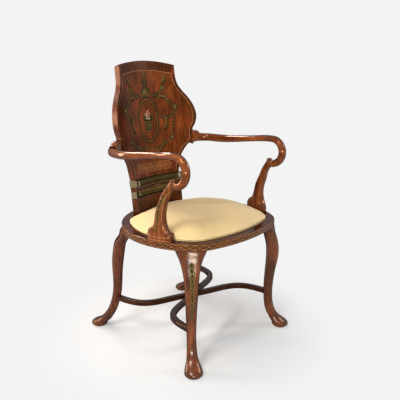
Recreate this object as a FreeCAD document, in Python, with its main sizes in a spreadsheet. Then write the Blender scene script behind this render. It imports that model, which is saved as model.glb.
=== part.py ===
import FreeCAD, Part
import math
import os
import Sketcher
from FreeCAD import Placement, Rotation, Vector

# Open armchair with a round compass seat, a concave splat back and crook arms.
# The floor is at Z = 0, the front faces -Y, and X = 0 is the plane of symmetry.
# Every size is in millimetres or degrees.

SIZES = {
    # seat frame
    "seat_height": 445.0,
    "rail_thickness": 24.0,
    "rail_edge_round": 2.5,
    "seat_radius": 281.0,
    "seat_centre_shift": 58.0,
    "seat_front": 291.0,
    "front_bow_radius": 600.0,
    "front_corner_radius": 120.0,
    "rim_width": 31.0,
    "ledge_width": 30.0,
    "rebate_depth": 12.0,
    "well_back_y": 154.5,
    "well_back_radius": 420.0,
    "well_corner_radius": 62.0,
    "lap_half_angle": 9.0,
    # legs
    "front_foot_x": 245.0,
    "front_foot_y": 262.0,
    "front_kick_turn": 38.0,
    "front_knee_turn": 51.0,
    "front_leg_set": 58.0,
    "back_foot_x": 231.0,
    "back_foot_y": 262.0,
    "back_kick_turn": 10.0,
    "back_knee_turn": 50.0,
    "back_leg_set": 155.0,
    "pad_radius": 31.0,
    "ankle_half": 16.5,
    "shin_half": 17.5,
    "knee_half": 22.0,
    "front_knee_spread": 54.0,
    "back_knee_spread": 44.0,
    "leg_stock_half": 25.0,
    "bracket_height": 66.0,
    "leg_tenon_radius": 11.0,
    "leg_tenon_length": 18.0,
    # stretchers
    "stretcher_height": 139.0,
    "stretcher_thickness": 18.0,
    "stretcher_half_width": 11.0,
    "stretcher_bow": 62.0,
    "stretcher_edge_round": 4.0,
    "stretcher_tenon_radius": 6.0,
    "stretcher_tenon_length": 10.0,
    # splat back, measured up the raked back from the top of the seat rail
    "back_rake": 6.9,
    "back_rear_y": 193.5,
    "back_radius": 356.5,
    "panel_thickness": 25.0,
    "moulding_inset": 6.0,
    "plinth_depth": 33.0,
    "plinth_height": 57.0,
    "plinth_half": 124.0,
    "bead_depth": 37.0,
    "bead_height": 24.0,
    "bead_half": 125.0,
    "bead_fillet": 6.0,
    "cove_depth": 35.0,
    "cove_height": 19.0,
    "cove_half": 124.0,
    "cove_radius": 6.0,
    "roll_depth": 42.0,
    "roll_height": 25.0,
    "roll_half": 128.0,
    "panel_foot_half": 116.0,
    "panel_waist_half": 128.0,
    "panel_waist_height": 182.0,
    "panel_shoulder_half": 179.0,
    "panel_shoulder_height": 246.0,
    "panel_shoulder_sag": 5.0,
    "panel_flank_half": 183.0,
    "panel_flank_height": 292.0,
    "panel_belly_half": 198.0,
    "panel_belly_height": 355.0,
    "panel_slope_half": 175.0,
    "panel_slope_height": 416.0,
    "panel_neck_half": 142.0,
    "panel_neck_height": 470.0,
    "panel_throat_half": 136.0,
    "panel_throat_height": 516.0,
    "panel_corner_half": 136.0,
    "panel_corner_height": 541.0,
    "panel_crest_height": 562.0,
    "tongue_depth": 16.0,
    "tongue_thickness": 10.0,
    "tongue_inset": 16.0,
    "tongue_half": 61.0,
    # arms and their supports
    "arm_half_width": 13.0,
    "arm_half_height": 11.5,
    "arm_rear_half_height": 15.0,
    "arm_inset": 29.0,
    "elbow_inset": 22.5,
    "arm_rear_height": 702.5,
    "crook_radius": 46.0,
    "crook_half": 13.5,
    "crook_y": 193.0,
    "crook_height": 681.0,
    "arm_block_height": 709.5,
    "arm_block_half": 23.5,
    "support_angle": 14.8,
    "support_foot_half": 45.5,
    "support_foot_thickness": 16.5,
    "support_foot_inset": 13.5,
    "support_foot_height": 18.0,
    "support_half": 12.5,
    "support_thickness": 12.5,
    # drop-in seat
    "seat_gap": 1.0,
    "rest_gap": 0.3,
    "cover_thickness": 1.5,
    "cover_hem": 16.0,
    "frame_thickness": 12.0,
    "frame_width": 46.0,
    "seat_crown": 36.0,
    "webbing_width": 50.0,
    "webbing_thickness": 1.5,
    "webbing_pitch": 84.0,
    "webbing_ramp": 12.0,
    "hessian_thickness": 1.0,
    "tack_radius": 1.2,
    "tack_head_radius": 2.6,
    "tack_length": 9.0,
    # fasteners
    "screw_radius": 2.5,
    "screw_head_radius": 4.5,
    "screw_length": 40.0,
    "stretcher_screw_length": 16.0,
    "dowel_radius": 4.5,
    "dowel_length": 20.0,
    "fit_gap": 0.1,
}

doc = FreeCAD.newDocument("armchair")
sheet = doc.addObject("Spreadsheet::Sheet", "sizes")
for row, (alias, value) in enumerate(SIZES.items(), start=1):
    sheet.set(f"A{row}", alias)
    sheet.set(f"B{row}", str(value))
    sheet.setAlias(f"B{row}", alias)
doc.recompute()

SUBPARTS = []
UP = Vector(0, 0, 1)
FAR = 1000.0


def size(alias):
    """A driving size, read from the sheet."""
    return float(sheet.get(alias))


def add_piece(label, shape):
    """A sub-part whose shape is worked out in this file."""
    piece = doc.addObject("Part::Feature", label)
    piece.Shape = shape
    piece.Placement = Placement()
    SUBPARTS.append(piece)
    return piece


def mirrored(shape):
    """The same shape on the other side of the plane of symmetry."""
    return shape.mirror(Vector(0, 0, 0), Vector(1, 0, 0))


def add_pair(label, right_shape):
    """The right-hand sub-part and its mirror image on the left."""
    add_piece(label + "_right", right_shape)
    add_piece(label + "_left", mirrored(right_shape))


def slab(bottom, top):
    """Everything between two heights."""
    return Part.makeBox(2 * FAR, 2 * FAR, top - bottom, Vector(-FAR, -FAR, bottom))


def heading(angle):
    """Level unit vector, with the angle measured from +X towards +Y."""
    return Vector(math.cos(math.radians(angle)), math.sin(math.radians(angle)), 0)


RAIL_TOP = size("seat_height")
RAIL_BOTTOM = RAIL_TOP - size("rail_thickness")
LEDGE_TOP = RAIL_TOP - size("rebate_depth")
GAP = size("fit_gap")
SEAT_CENTRE = Vector(0, -size("seat_centre_shift"), 0)
BOW_CENTRE = Vector(0, size("front_bow_radius") - size("seat_front"), 0)


# Fasteners

def screw(head, direction, length, clearance=0.0):
    """Countersunk screw with its flat head at a point, or the hole for it."""
    shank, top = size("screw_radius") + clearance, size("screw_head_radius") + clearance
    body = Part.makeCylinder(shank, length + 5 * clearance, head, direction)
    return body.fuse(Part.makeCone(top, shank, top - shank, head, direction))


def dowel(middle, direction, clearance=0.0):
    """Wooden dowel lying evenly to both sides of a joint, or the hole for it."""
    length = size("dowel_length") + 10 * clearance
    start = middle - direction * (length / 2)
    return Part.makeCylinder(size("dowel_radius") + clearance, length, start, direction)


def tack(head, direction, clearance=0.0):
    """Upholstery tack with a flat head, or the hole for it."""
    shank, top = size("tack_radius") + clearance, size("tack_head_radius") + clearance
    pin = Part.makeCylinder(shank, size("tack_length") + 5 * clearance, head, direction)
    return pin.fuse(Part.makeCone(top, shank, top - shank, head, direction))


# Seat plan: a chain of tangent arcs from the middle of the front round to the middle of the back

def touching_arc(first, second, radius):
    """Arc of a given radius that runs inside two circles and touches both."""
    (centre_a, radius_a), (centre_b, radius_b) = first, second
    reach_a, reach_b = radius_a - radius, radius_b - radius
    apart = centre_b.y - centre_a.y
    along = (reach_a**2 - reach_b**2 + apart**2) / (2 * apart)
    return Vector(math.sqrt(reach_a**2 - along**2), centre_a.y + along, 0), radius


def inset(arcs, distance):
    """The same outline, a constant distance further in."""
    return [(centre, radius - distance) for centre, radius in arcs]


def shrunk(arcs, share):
    """The same outline, drawn in towards the middle of the seat."""
    return [(SEAT_CENTRE + (centre - SEAT_CENTRE) * share, radius * share) for centre, radius in arcs]


def plan_wire(arcs, height):
    """Closed outline through the arcs and their mirror images."""
    corners = [arcs[0][0] - Vector(0, arcs[0][1], 0)]
    for (centre_a, radius_a), (centre_b, radius_b) in zip(arcs, arcs[1:]):
        larger, smaller, radius = centre_a, centre_b, radius_a
        if radius_b > radius_a:
            larger, smaller, radius = centre_b, centre_a, radius_b
        corners.append(larger + (smaller - larger).normalize() * radius)
    corners.append(arcs[-1][0] + Vector(0, arcs[-1][1], 0))
    right, left = [], []
    for (centre, radius), start, end in zip(arcs, corners, corners[1:]):
        middle = centre + (start + end - centre * 2).normalize() * radius
        ends = [Vector(point.x, point.y, height) for point in (start, middle, end)]
        flips = [Vector(-point.x, point.y, height) for point in (end, middle, start)]
        right.append(Part.Arc(*ends).toShape())
        left.append(Part.Arc(*flips).toShape())
    return Part.Wire(right + left[::-1])


def plan_solid(arcs, bottom, top):
    """Upright solid on a plan outline."""
    return Part.Face(plan_wire(arcs, bottom)).extrude(Vector(0, 0, top - bottom))


bow = (BOW_CENTRE, size("front_bow_radius"))
seat_circle = (SEAT_CENTRE, size("seat_radius"))
RAIL_PLAN = [bow, touching_arc(bow, seat_circle, size("front_corner_radius")), seat_circle]

# The seat well follows the rim, and its back edge passes just in front of the plinth
well_sides = inset(RAIL_PLAN, size("rim_width"))
well_back_centre = Vector(0, size("well_back_y") - size("well_back_radius"), 0)
well_back = (well_back_centre, size("well_back_radius"))
well_corner = touching_arc(well_sides[2], well_back, size("well_corner_radius"))
WELL_PLAN = well_sides + [well_corner, well_back]
LEDGE_PLAN = inset(WELL_PLAN, size("ledge_width"))


# Smooth sections and the forms lofted through them

def section(centre, across, upward, half_across, half_upward, squareness, bend=0.0):
    """Closed section, from an ellipse (squareness 2) towards a rounded rectangle (4)."""
    count = 24
    points = []
    for step in range(count):
        angle = 2 * math.pi * (step + 0.5) / count
        u = half_across * math.copysign(abs(math.cos(angle)) ** (2 / squareness), math.cos(angle))
        v = half_upward * math.copysign(abs(math.sin(angle)) ** (2 / squareness), math.sin(angle))
        points.append(centre + across * (u - bend * v * v) + upward * v)
    curve = Part.BSplineCurve()
    curve.interpolate(Points=points, PeriodicFlag=True)
    return Part.Wire(curve.toShape())


def lofted(wires):
    """Smooth solid through closed sections, stiff enough not to swing out between them."""
    return Part.makeLoft(wires, True, False, False, 3)


def swept(stations, start_tangent=None, bend=0.0):
    """Loft along a path; each station has a point, a side direction, two half sizes and squareness.

    Without a side direction the section stands upright on the path.
    """
    points = [station[0] for station in stations]
    wires = []
    for index, (point, side, half_across, half_upward, squareness) in enumerate(stations):
        before, after = points[max(index - 1, 0)], points[min(index + 1, len(points) - 1)]
        tangent = (after - before).normalize()
        if index == 0 and start_tangent:
            tangent = start_tangent
        aside = side if side else tangent.cross(UP)
        across = (aside - tangent * aside.dot(tangent)).normalize()
        follow = bend if index < 2 else 0.0
        wires.append(section(
            point, across, tangent.cross(across), half_across, half_upward, squareness, follow))
    return lofted(wires)


# Legs: round pad foot, slim ankle and a broad flat knee, with a bracket glued to each side

def leg_line(front):
    """What steers a right-hand leg: foot, way of the kick, way the knee faces, length of the kick."""
    end = "front" if front else "back"
    side = -1 if front else 1
    foot = Vector(size(end + "_foot_x"), side * size(end + "_foot_y"), 0)
    kick = heading(side * (90 - size(end + "_kick_turn")))
    outward = heading(side * (90 - size(end + "_knee_turn")))
    return foot, kick, outward, size(end + "_leg_set")


# Share of the leg's height, and how far in the leg is there as a share of its kick, front and back
LEG_REACH = [
    (0.000, 0.000, 0.000),
    (0.010, 0.000, 0.000),
    (0.026, 0.000, 0.000),
    (0.040, 0.034, 0.026),
    (0.067, 0.207, 0.130),
    (0.100, 0.431, 0.246),
    (0.143, 0.638, 0.349),
    (0.200, 0.776, 0.452),
    (0.273, 0.853, 0.542),
    (0.380, 0.870, 0.626),
    (0.513, 0.810, 0.661),
    (0.644, 0.698, 0.675),
    (0.741, 0.664, 0.710),
    (0.831, 0.750, 0.758),
    (0.898, 0.870, 0.848),
    (0.950, 0.945, 0.930),
    (1.000, 1.000, 1.000),
]


def leg_girth(front):
    """Half depth, half width and squareness at each of the heights above."""
    pad, ankle, shin, knee = size("pad_radius"), size("ankle_half"), size("shin_half"), size("knee_half")
    flare = size("front_knee_spread" if front else "back_knee_spread") - knee
    return [
        (0.77 * pad, 0.77 * pad, 2.0),
        (0.92 * pad, 0.92 * pad, 2.0),
        (pad, pad, 2.0),
        (0.98 * pad, 0.98 * pad, 2.0),
        (0.87 * pad, 0.86 * pad, 2.1),
        (1.33 * ankle, 1.27 * ankle, 2.2),
        (1.15 * ankle, 1.09 * ankle, 2.3),
        (1.06 * ankle, ankle, 2.4),
        (ankle, 0.97 * ankle, 2.6),
        (ankle, 1.03 * ankle, 2.9),
        (shin, 1.09 * shin, 3.2),
        (0.93 * knee, 0.98 * knee, 3.3),
        (knee, 1.08 * knee, 3.3),
        (knee, knee + 0.20 * flare, 3.4),
        (0.95 * knee, knee + 0.42 * flare, 3.5),
        (0.89 * knee, knee + 0.70 * flare, 3.6),
        (0.82 * knee, knee + flare, 3.8),
    ]


def leg_form(front, grow=0.0):
    """A right-hand leg with its brackets as one smooth solid, grown by a clearance."""
    foot, kick, outward, leg_set = leg_line(front)
    sideways = UP.cross(outward)
    rim_bend = 1 / (2 * size("front_corner_radius" if front else "seat_radius"))
    wires = []
    for (share, front_part, back_part), (depth, width, squareness) in zip(LEG_REACH, leg_girth(front)):
        centre = foot - kick * (leg_set * (front_part if front else back_part))
        centre.z = share * RAIL_BOTTOM
        bend = rim_bend * max(0.0, share - 0.8) / 0.2
        wires.append(section(centre, outward, sideways, depth + grow, width + grow, squareness, bend))
    return lofted(wires)


def leg_top(front):
    """Middle of a right-hand leg where it meets the seat rail."""
    foot, kick, outward, leg_set = leg_line(front)
    return foot - kick * leg_set + Vector(0, 0, RAIL_BOTTOM)


def leg_tenon(front, clearance=0.0):
    """Round tenon on top of a leg, or its hole."""
    depth = size("leg_tenon_length") + 5 * clearance
    return Part.makeCylinder(size("leg_tenon_radius") + clearance, depth, leg_top(front))


def bracket_zones(front):
    """The space to both sides of the leg's own stock, up to the rail."""
    foot, kick, outward, leg_set = leg_line(front)
    half, height, reach = size("leg_stock_half"), size("bracket_height"), 100.0
    turn = Rotation(Vector(1, 0, 0), outward)
    zones = []
    for start in (half, -half - reach):
        box = Part.makeBox(2 * reach, reach, height + GAP, Vector(-reach, start, 0))
        box.Placement = Placement(leg_top(front) - Vector(0, 0, height), turn)
        zones.append(box)
    return zones


# Stretchers: two boards sawn to a double curve that cross in a half-lap under the seat

def ankle_point(front):
    """Middle of a right-hand leg at the height of the stretchers."""
    foot, kick, outward, leg_set = leg_line(front)
    share = size("stretcher_height") / RAIL_BOTTOM
    column = 1 if front else 2
    for low, high in zip(LEG_REACH, LEG_REACH[1:]):
        if low[0] <= share <= high[0]:
            blend = (share - low[0]) / (high[0] - low[0])
            reach = low[column] + (high[column] - low[column]) * blend
    return foot - kick * (leg_set * reach) + Vector(0, 0, size("stretcher_height"))


def stretcher_curve(offset):
    """Long curve of the board from the front right to the back left leg, set off to one side."""
    start, end = ankle_point(True), ankle_point(False)
    end.x = -end.x
    run = end - start
    along = Vector(run.x, run.y, 0).normalize()
    aside = Vector(run.y, -run.x, 0).normalize()
    bow_depth = size("stretcher_bow")
    count = 24
    points = []
    for step in range(count + 1):
        turn = 2 * math.pi * step / count
        wave = bow_depth * (math.sin(turn) + 0.21 * math.sin(2 * turn))
        slope = bow_depth * 2 * math.pi * (math.cos(turn) + 0.42 * math.cos(2 * turn)) / run.Length
        across = (aside - along * slope).normalize()
        points.append(start + run * (step / count) + aside * wave + across * offset)
    curve = Part.BSplineCurve()
    curve.interpolate(points)
    return curve


def stretcher_board():
    """The curved board, its long edges rounded, running into the middle of both legs."""
    half, depth = size("stretcher_half_width"), size("stretcher_thickness")
    one, other = stretcher_curve(half), stretcher_curve(-half)
    outline = Part.Wire([
        one.toShape(),
        Part.LineSegment(one.EndPoint, other.EndPoint).toShape(),
        other.toShape(),
        Part.LineSegment(other.StartPoint, one.StartPoint).toShape(),
    ])
    outline.translate(Vector(0, 0, -depth / 2))
    plank = Part.Face(outline).extrude(Vector(0, 0, depth))
    long_edges = [edge for edge in plank.Edges if edge.Length > 5 * depth]
    return plank.makeFillet(size("stretcher_edge_round"), long_edges)


def stretcher_tenon(front, clearance=0.0):
    """Stub tenon at the right front or the left back end of the board, or its hole."""
    line = stretcher_curve(0)
    parameter = line.FirstParameter if front else line.LastParameter
    inward = line.tangent(parameter)[0] * (1 if front else -1)
    start = size("ankle_half") - size("stretcher_tenon_length") - 5 * clearance
    reach = 3 * size("ankle_half") - start
    middle = line.value(parameter) + inward * start
    return Part.makeCylinder(size("stretcher_tenon_radius") + clearance, reach, middle, inward)


right_legs = {front: leg_form(front) for front in (True, False)}
grown_legs = {front: leg_form(front, GAP) for front in (True, False)}

board = stretcher_board().cut([grown_legs[True], mirrored(grown_legs[False])])
board = board.fuse([stretcher_tenon(True), stretcher_tenon(False)]).removeSplitter()
other_board = mirrored(board)
lap_level = size("stretcher_height")
middle_line = stretcher_curve(0)
crossing = middle_line.value((middle_line.FirstParameter + middle_line.LastParameter) / 2)
crossing.z -= size("stretcher_thickness") / 2
crossing_hole = screw(crossing, UP, size("stretcher_screw_length"), GAP)
upper_board = board.cut(other_board.common(slab(0, lap_level))).cut(crossing_hole)
lower_board = other_board.cut(board.common(slab(lap_level, RAIL_BOTTOM))).cut(crossing_hole)
add_piece("stretcher_upper", upper_board)
add_piece("stretcher_lower", lower_board)
add_piece("stretcher_screw", screw(crossing, UP, size("stretcher_screw_length")))

for front in (True, False):
    end = "front" if front else "back"
    mortise = stretcher_tenon(front, GAP)
    if not front:
        mortise = mirrored(mortise)
    zones = bracket_zones(front)
    leg = right_legs[front].cut(zones).fuse(leg_tenon(front)).cut(mortise)
    add_pair("leg_" + end, leg)
    add_pair("knee_brackets_" + end, right_legs[front].common(zones[0].fuse(zones[1])))


# Back: a raked, curved stack of plinth, mouldings and splat, all struck from one upright axis

rake = Placement(Vector(0, 0, 0), Rotation(Vector(1, 0, 0), -size("back_rake")))
BACK_PLACE = Placement(Vector(0, size("back_rear_y"), RAIL_TOP), Rotation()) * rake
AXIS_PLACE = BACK_PLACE * Placement(Vector(0, -size("back_radius"), 0), Rotation())
BODY_PLACE = AXIS_PLACE * Placement(Vector(0, 0, -size("tongue_depth")), Rotation())
PANEL_FOOT = sum(size(part + "_height") for part in ("plinth", "bead", "cove", "roll"))
PANEL_RADIUS = size("back_radius") - size("panel_thickness") / 2
TONGUE_RADIUS = size("back_radius") - size("tongue_inset")
MOULDING_BACK = "(sizes.back_radius - sizes.moulding_inset)"


def shell(inner, outer, half_angle, bottom, top):
    """Part of an upright tube about the axis of the back, in the frame of that axis."""
    ring = Part.makeCylinder(outer, top - bottom, Vector(0, 0, bottom), UP, 2 * half_angle)
    ring.rotate(Vector(0, 0, 0), UP, 90 - half_angle)
    return ring.cut(Part.makeCylinder(inner, top - bottom, Vector(0, 0, bottom)))


def tongue(clearance=0.0):
    """The splat's tongue, which runs down through the mouldings into the back rail."""
    half = size("tongue_thickness") / 2 + clearance
    half_angle = math.degrees(math.asin((size("tongue_half") + clearance) / TONGUE_RADIUS))
    bottom = -size("tongue_depth") - 5 * clearance
    return shell(TONGUE_RADIUS - half, TONGUE_RADIUS + half, half_angle, bottom, PANEL_FOOT)


def draw_outline(body, name, corners):
    """Sketch on the body's upright plane; each corner is a pair of expressions on the sheet."""
    sketch = body.newObject("Sketcher::SketchObject", body.Name + "_" + name)
    plane = next(item for item in body.Origin.OriginFeatures if item.Role == "YZ_Plane")
    sketch.AttachmentSupport = [(plane, "")]
    sketch.MapMode = "FlatFace"
    points = []
    for pair in corners:
        across, up = (float(sketch.evalExpression(expression)) for expression in pair)
        points.append(Vector(across, up, 0))
    for index, start in enumerate(points):
        sketch.addGeometry(Part.LineSegment(start, points[(index + 1) % len(points)]))
    for index, (across, up) in enumerate(corners):
        previous = (index - 1) % len(points)
        sketch.addConstraint(Sketcher.Constraint("Coincident", previous, 2, index, 1))
        for axis, value, expression in (("X", points[index].x, across), ("Y", points[index].y, up)):
            number = sketch.addConstraint(Sketcher.Constraint("Distance" + axis, -1, 1, index, 1, value))
            sketch.setExpression(f"Constraints[{number}]", expression)
    return sketch


def turn(body, kind, sketch, angle):
    """Revolve a sketch about the axis of the back, evenly to both sides."""
    feature = body.newObject("PartDesign::" + kind, body.Name + "_" + kind.lower())
    feature.Profile = sketch
    feature.ReferenceAxis = (sketch, ["V_Axis"])
    feature.Midplane = True
    feature.setExpression("Angle", angle)
    return feature


def add_moulding(label, below, corners_of):
    """Curved moulding: a revolved profile with a slot for the tongue. Returns body and front edge."""
    body = doc.addObject("PartDesign::Body", "back_" + label)
    bottom = "sizes.tongue_depth" + "".join(f" + sizes.{name}_height" for name in below)
    top = f"{bottom} + sizes.{label}_height"
    front = f"sizes.back_radius - sizes.{label}_depth"
    profile = draw_outline(body, "profile", corners_of(front, bottom, top))
    turn(body, "Revolution", profile, f"2 * asin(sizes.{label}_half / {MOULDING_BACK})")
    middle = "sizes.back_radius - sizes.tongue_inset"
    half = "(sizes.tongue_thickness / 2 + sizes.fit_gap)"
    low, high = "sizes.tongue_depth / 4", f"{top} + sizes.fit_gap"
    inner, outer = f"{middle} - {half}", f"{middle} + {half}"
    slot = draw_outline(body, "slot", [(inner, low), (outer, low), (outer, high), (inner, high)])
    turn(body, "Groove", slot, f"2 * asin((sizes.tongue_half + sizes.fit_gap) / ({middle}))")
    body.Placement = BODY_PLACE
    SUBPARTS.append(body)
    return body, front, bottom, top


def plain(front, bottom, top):
    """Corners of a plain rectangular board."""
    back = MOULDING_BACK
    return [(front, bottom), (back, bottom), (back, top), (front, top)]


def stepped(front, bottom, top):
    """Corners of a board whose lower part is a narrow fillet, set back a little."""
    back, step = MOULDING_BACK, f"{bottom} + sizes.bead_fillet"
    shy = f"{front} + sizes.bead_fillet"
    return [(shy, bottom), (back, bottom), (back, top), (front, top), (front, step), (shy, step)]


def sunk(front, bottom, top):
    """Corners of the plinth, whose foot is left long to be cut level with the rail."""
    back, low = MOULDING_BACK, "sizes.tongue_depth / 2"
    return [(front, low), (back, low), (back, top), (front, top)]


def round_front(body, front, radius):
    """Round over the two long front edges of a moulding."""
    doc.recompute()
    reach = float(body.Tip.evalExpression(front))
    feature = body.newObject("PartDesign::Fillet", body.Name + "_round")
    base = body.Group[-2]
    edges = [f"Edge{number}" for number, edge in enumerate(base.Shape.Edges, start=1)
             if isinstance(edge.Curve, Part.Circle) and abs(edge.Curve.Radius - reach) < 0.01]
    feature.Base = (base, edges)
    feature.setExpression("Radius", radius)


plinth, front, bottom, top = add_moulding("plinth", [], sunk)
slope = "tan(sizes.back_rake)"
fore, aft = "sizes.back_radius - 3 * sizes.plinth_depth", "sizes.back_radius + sizes.plinth_depth"
level = draw_outline(plinth, "level", [
    (fore, "sizes.tongue_depth / 8"),
    (aft, "sizes.tongue_depth / 8"),
    (aft, f"sizes.tongue_depth + sizes.plinth_depth * {slope}"),
    (fore, f"sizes.tongue_depth - 3 * sizes.plinth_depth * {slope}"),
])
foot_cut = plinth.newObject("PartDesign::Pocket", "back_plinth_foot")
foot_cut.Profile = level
foot_cut.Type = "ThroughAll"
foot_cut.Midplane = True

bead, front, bottom, top = add_moulding("bead", ["plinth"], stepped)
round_front(bead, front, "0.9 * sizes.bead_fillet")

cove, front, bottom, top = add_moulding("cove", ["plinth", "bead"], plain)
hollow = cove.newObject("Sketcher::SketchObject", "back_cove_hollow")
hollow.AttachmentSupport = [(next(
    item for item in cove.Origin.OriginFeatures if item.Role == "YZ_Plane"), "")]
hollow.MapMode = "FlatFace"
hollow.addGeometry(Part.Circle(Vector(100, 100, 0), UP, size("cove_radius")))
for kind, expression in (("X", front), ("Y", f"{bottom} + sizes.cove_height / 2")):
    value = float(hollow.evalExpression(expression))
    number = hollow.addConstraint(Sketcher.Constraint("Distance" + kind, -1, 1, 0, 3, value))
    hollow.setExpression(f"Constraints[{number}]", expression)
number = hollow.addConstraint(Sketcher.Constraint("Radius", 0, size("cove_radius")))
hollow.setExpression(f"Constraints[{number}]", "sizes.cove_radius")
turn(cove, "Groove", hollow, "360")

roll, front, bottom, top = add_moulding("roll", ["plinth", "bead", "cove"], plain)
round_front(roll, front, "0.48 * sizes.roll_height")
doc.recompute()


def splat_prism():
    """Everything within the outline of the splat, in the frame of the back's axis."""
    def at(name):
        return Vector(size(f"panel_{name}_half"), 0, size(f"panel_{name}_height"))

    foot = Vector(size("panel_foot_half"), 0, PANEL_FOOT)
    waist, shoulder, flank, corner = at("waist"), at("shoulder"), at("flank"), at("corner")
    chord = shoulder - waist
    sag = Vector(-chord.z, 0, chord.x).normalize() * size("panel_shoulder_sag")
    side = Part.BSplineCurve()
    side.interpolate([flank, at("belly"), at("slope"), at("neck"), at("throat"), corner])
    right = Part.Wire([
        Part.LineSegment(foot, waist).toShape(),
        Part.Arc(waist, (waist + shoulder) * 0.5 + sag, shoulder).toShape(),
        Part.LineSegment(shoulder, flank).toShape(),
        side.toShape(),
    ])
    left = mirrored(right)
    other_foot, other_corner = Vector(-foot.x, 0, foot.z), Vector(-corner.x, 0, corner.z)
    crest = Part.Arc(corner, Vector(0, 0, size("panel_crest_height")), other_corner).toShape()
    sill = Part.LineSegment(other_foot, foot).toShape()
    outline = Part.Wire(Part.__sortEdges__(right.Edges + left.Edges + [crest, sill]))
    return Part.Face(outline).extrude(Vector(0, FAR, 0))


ARM_AT_HALF = (size("panel_shoulder_half") + size("panel_flank_half")) / 2
ARM_AT_HEIGHT = (size("panel_shoulder_height") + size("panel_flank_height")) / 2
ARM_AT_LEAN = math.asin(ARM_AT_HALF / PANEL_RADIUS)


def splat_edge_middle():
    """Middle of the splat's right edge where the arm meets it, in the frame of the room."""
    return AXIS_PLACE.multVec(Vector(ARM_AT_HALF, PANEL_RADIUS * math.cos(ARM_AT_LEAN), ARM_AT_HEIGHT))


def dowel_at_splat(clearance=0.0):
    """Dowel from the right arm's block into the edge of the splat, in the frame of the room."""
    direction = AXIS_PLACE.Rotation.multVec(Vector(math.cos(ARM_AT_LEAN), -math.sin(ARM_AT_LEAN), 0))
    return dowel(splat_edge_middle(), direction, clearance)


prism = splat_prism()
splat = shell(size("back_radius") - size("panel_thickness"), size("back_radius"), 60, 0, FAR)
splat = splat.common(prism).fuse(tongue()).removeSplitter()
splat.Placement = AXIS_PLACE
prism.Placement = AXIS_PLACE
arm_hole = dowel_at_splat(GAP)
add_piece("back_panel", splat.cut([arm_hole, mirrored(arm_hole)]))


# Arms: a round rail that curls down at the front into an open crook

CROOK = Vector(size("seat_radius") - size("arm_inset"), -size("crook_y"), size("crook_height"))
SIDE = Vector(1, 0, 0)
SUPPORT_WAY = heading(-size("support_angle"))
SUPPORT_RADIUS = size("seat_radius") - size("support_foot_inset")
SUPPORT_FOOT = SEAT_CENTRE + SUPPORT_WAY * SUPPORT_RADIUS + Vector(0, 0, RAIL_TOP)

# The crook's end is butted against the front of the support, on an upright plane
joint_point = CROOK + Vector(0, 0.17, -1) * size("crook_radius")

# Where the rail bends in to its block: share of the way out from the splat to the elbow, distance
# in front of the splat's edge, height as a share of the block's and squareness
ELBOW_BEND = [
    (0.960, 88.0, 0.64, 2.4),
    (0.890, 50.0, 0.64, 2.4),
    (0.690, 24.0, 0.65, 2.6),
    (0.520, 13.5, 0.70, 3.0),
    (0.400, 9.5, 0.85, 3.6),
    (0.300, 7.0, 0.98, 4.4),
    (0.200, 4.0, 1.00, 5.0),
    (0.050, 0.5, 1.00, 5.0),
    (-0.150, -4.5, 1.00, 5.0),
]

# Share of the support's height, share of its forward lean, bow outwards, half thickness and half
# width as shares of the foot's (first four) or of the stem's, and squareness
SUPPORT_FORM = [
    (0.150, 0.00, 0.0, 0.98, 0.92, 5.5),
    (0.188, 0.02, 0.0, 0.96, 0.75, 5.5),
    (0.230, 0.04, 0.0, 0.92, 0.58, 5.0),
    (0.305, 0.06, 0.5, 0.84, 0.45, 5.0),
    (0.470, 0.11, 2.0, 1.02, 1.33, 5.0),
    (0.630, 0.27, 4.5, 1.02, 1.13, 4.8),
    (0.770, 0.44, 4.4, 0.98, 0.94, 4.6),
    (0.930, 0.74, 2.1, 1.00, 0.92, 3.6),
    (1.063, 1.00, 0.0, 0.96, 0.98, 2.7),
]


def arm_loft():
    """The right arm, from under the crook back to the splat."""
    elbow = size("seat_radius") - size("elbow_inset")
    edge = splat_edge_middle()
    width, height, crook = size("arm_half_width"), size("arm_half_height"), size("crook_half")
    rear_height, radius = size("arm_rear_half_height"), size("crook_radius")
    rear, block, block_half = size("arm_rear_height"), size("arm_block_height"), size("arm_block_half")
    stations = []
    for angle in range(285, 75, -15):
        turned = heading(angle) * radius
        share = 1 - 0.12 * max(0, 180 - angle) / 90
        stations.append((CROOK + Vector(0, turned.x, turned.y), SIDE, crook, share * crook, 2.3))
    drop = CROOK.z + radius - rear
    stations += [
        (Vector(CROOK.x - 3, -120, rear + 0.80 * drop), None, width, height, 2.4),
        (Vector(CROOK.x + 1, -40, rear + 0.40 * drop), None, width, 1.1 * height, 2.4),
        (Vector(elbow, 25, rear + 0.10 * drop), None, width, 0.94 * rear_height, 2.4),
    ]
    for out_share, ahead, share, squareness in ELBOW_BEND:
        rise = max(0.0, share - 0.64) / 0.36
        point = Vector(edge.x + out_share * (elbow - edge.x), edge.y - ahead, rear + rise * (block - rear))
        stations.append((point, None, width, share * block_half, squareness))
    return swept(stations)


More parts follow.
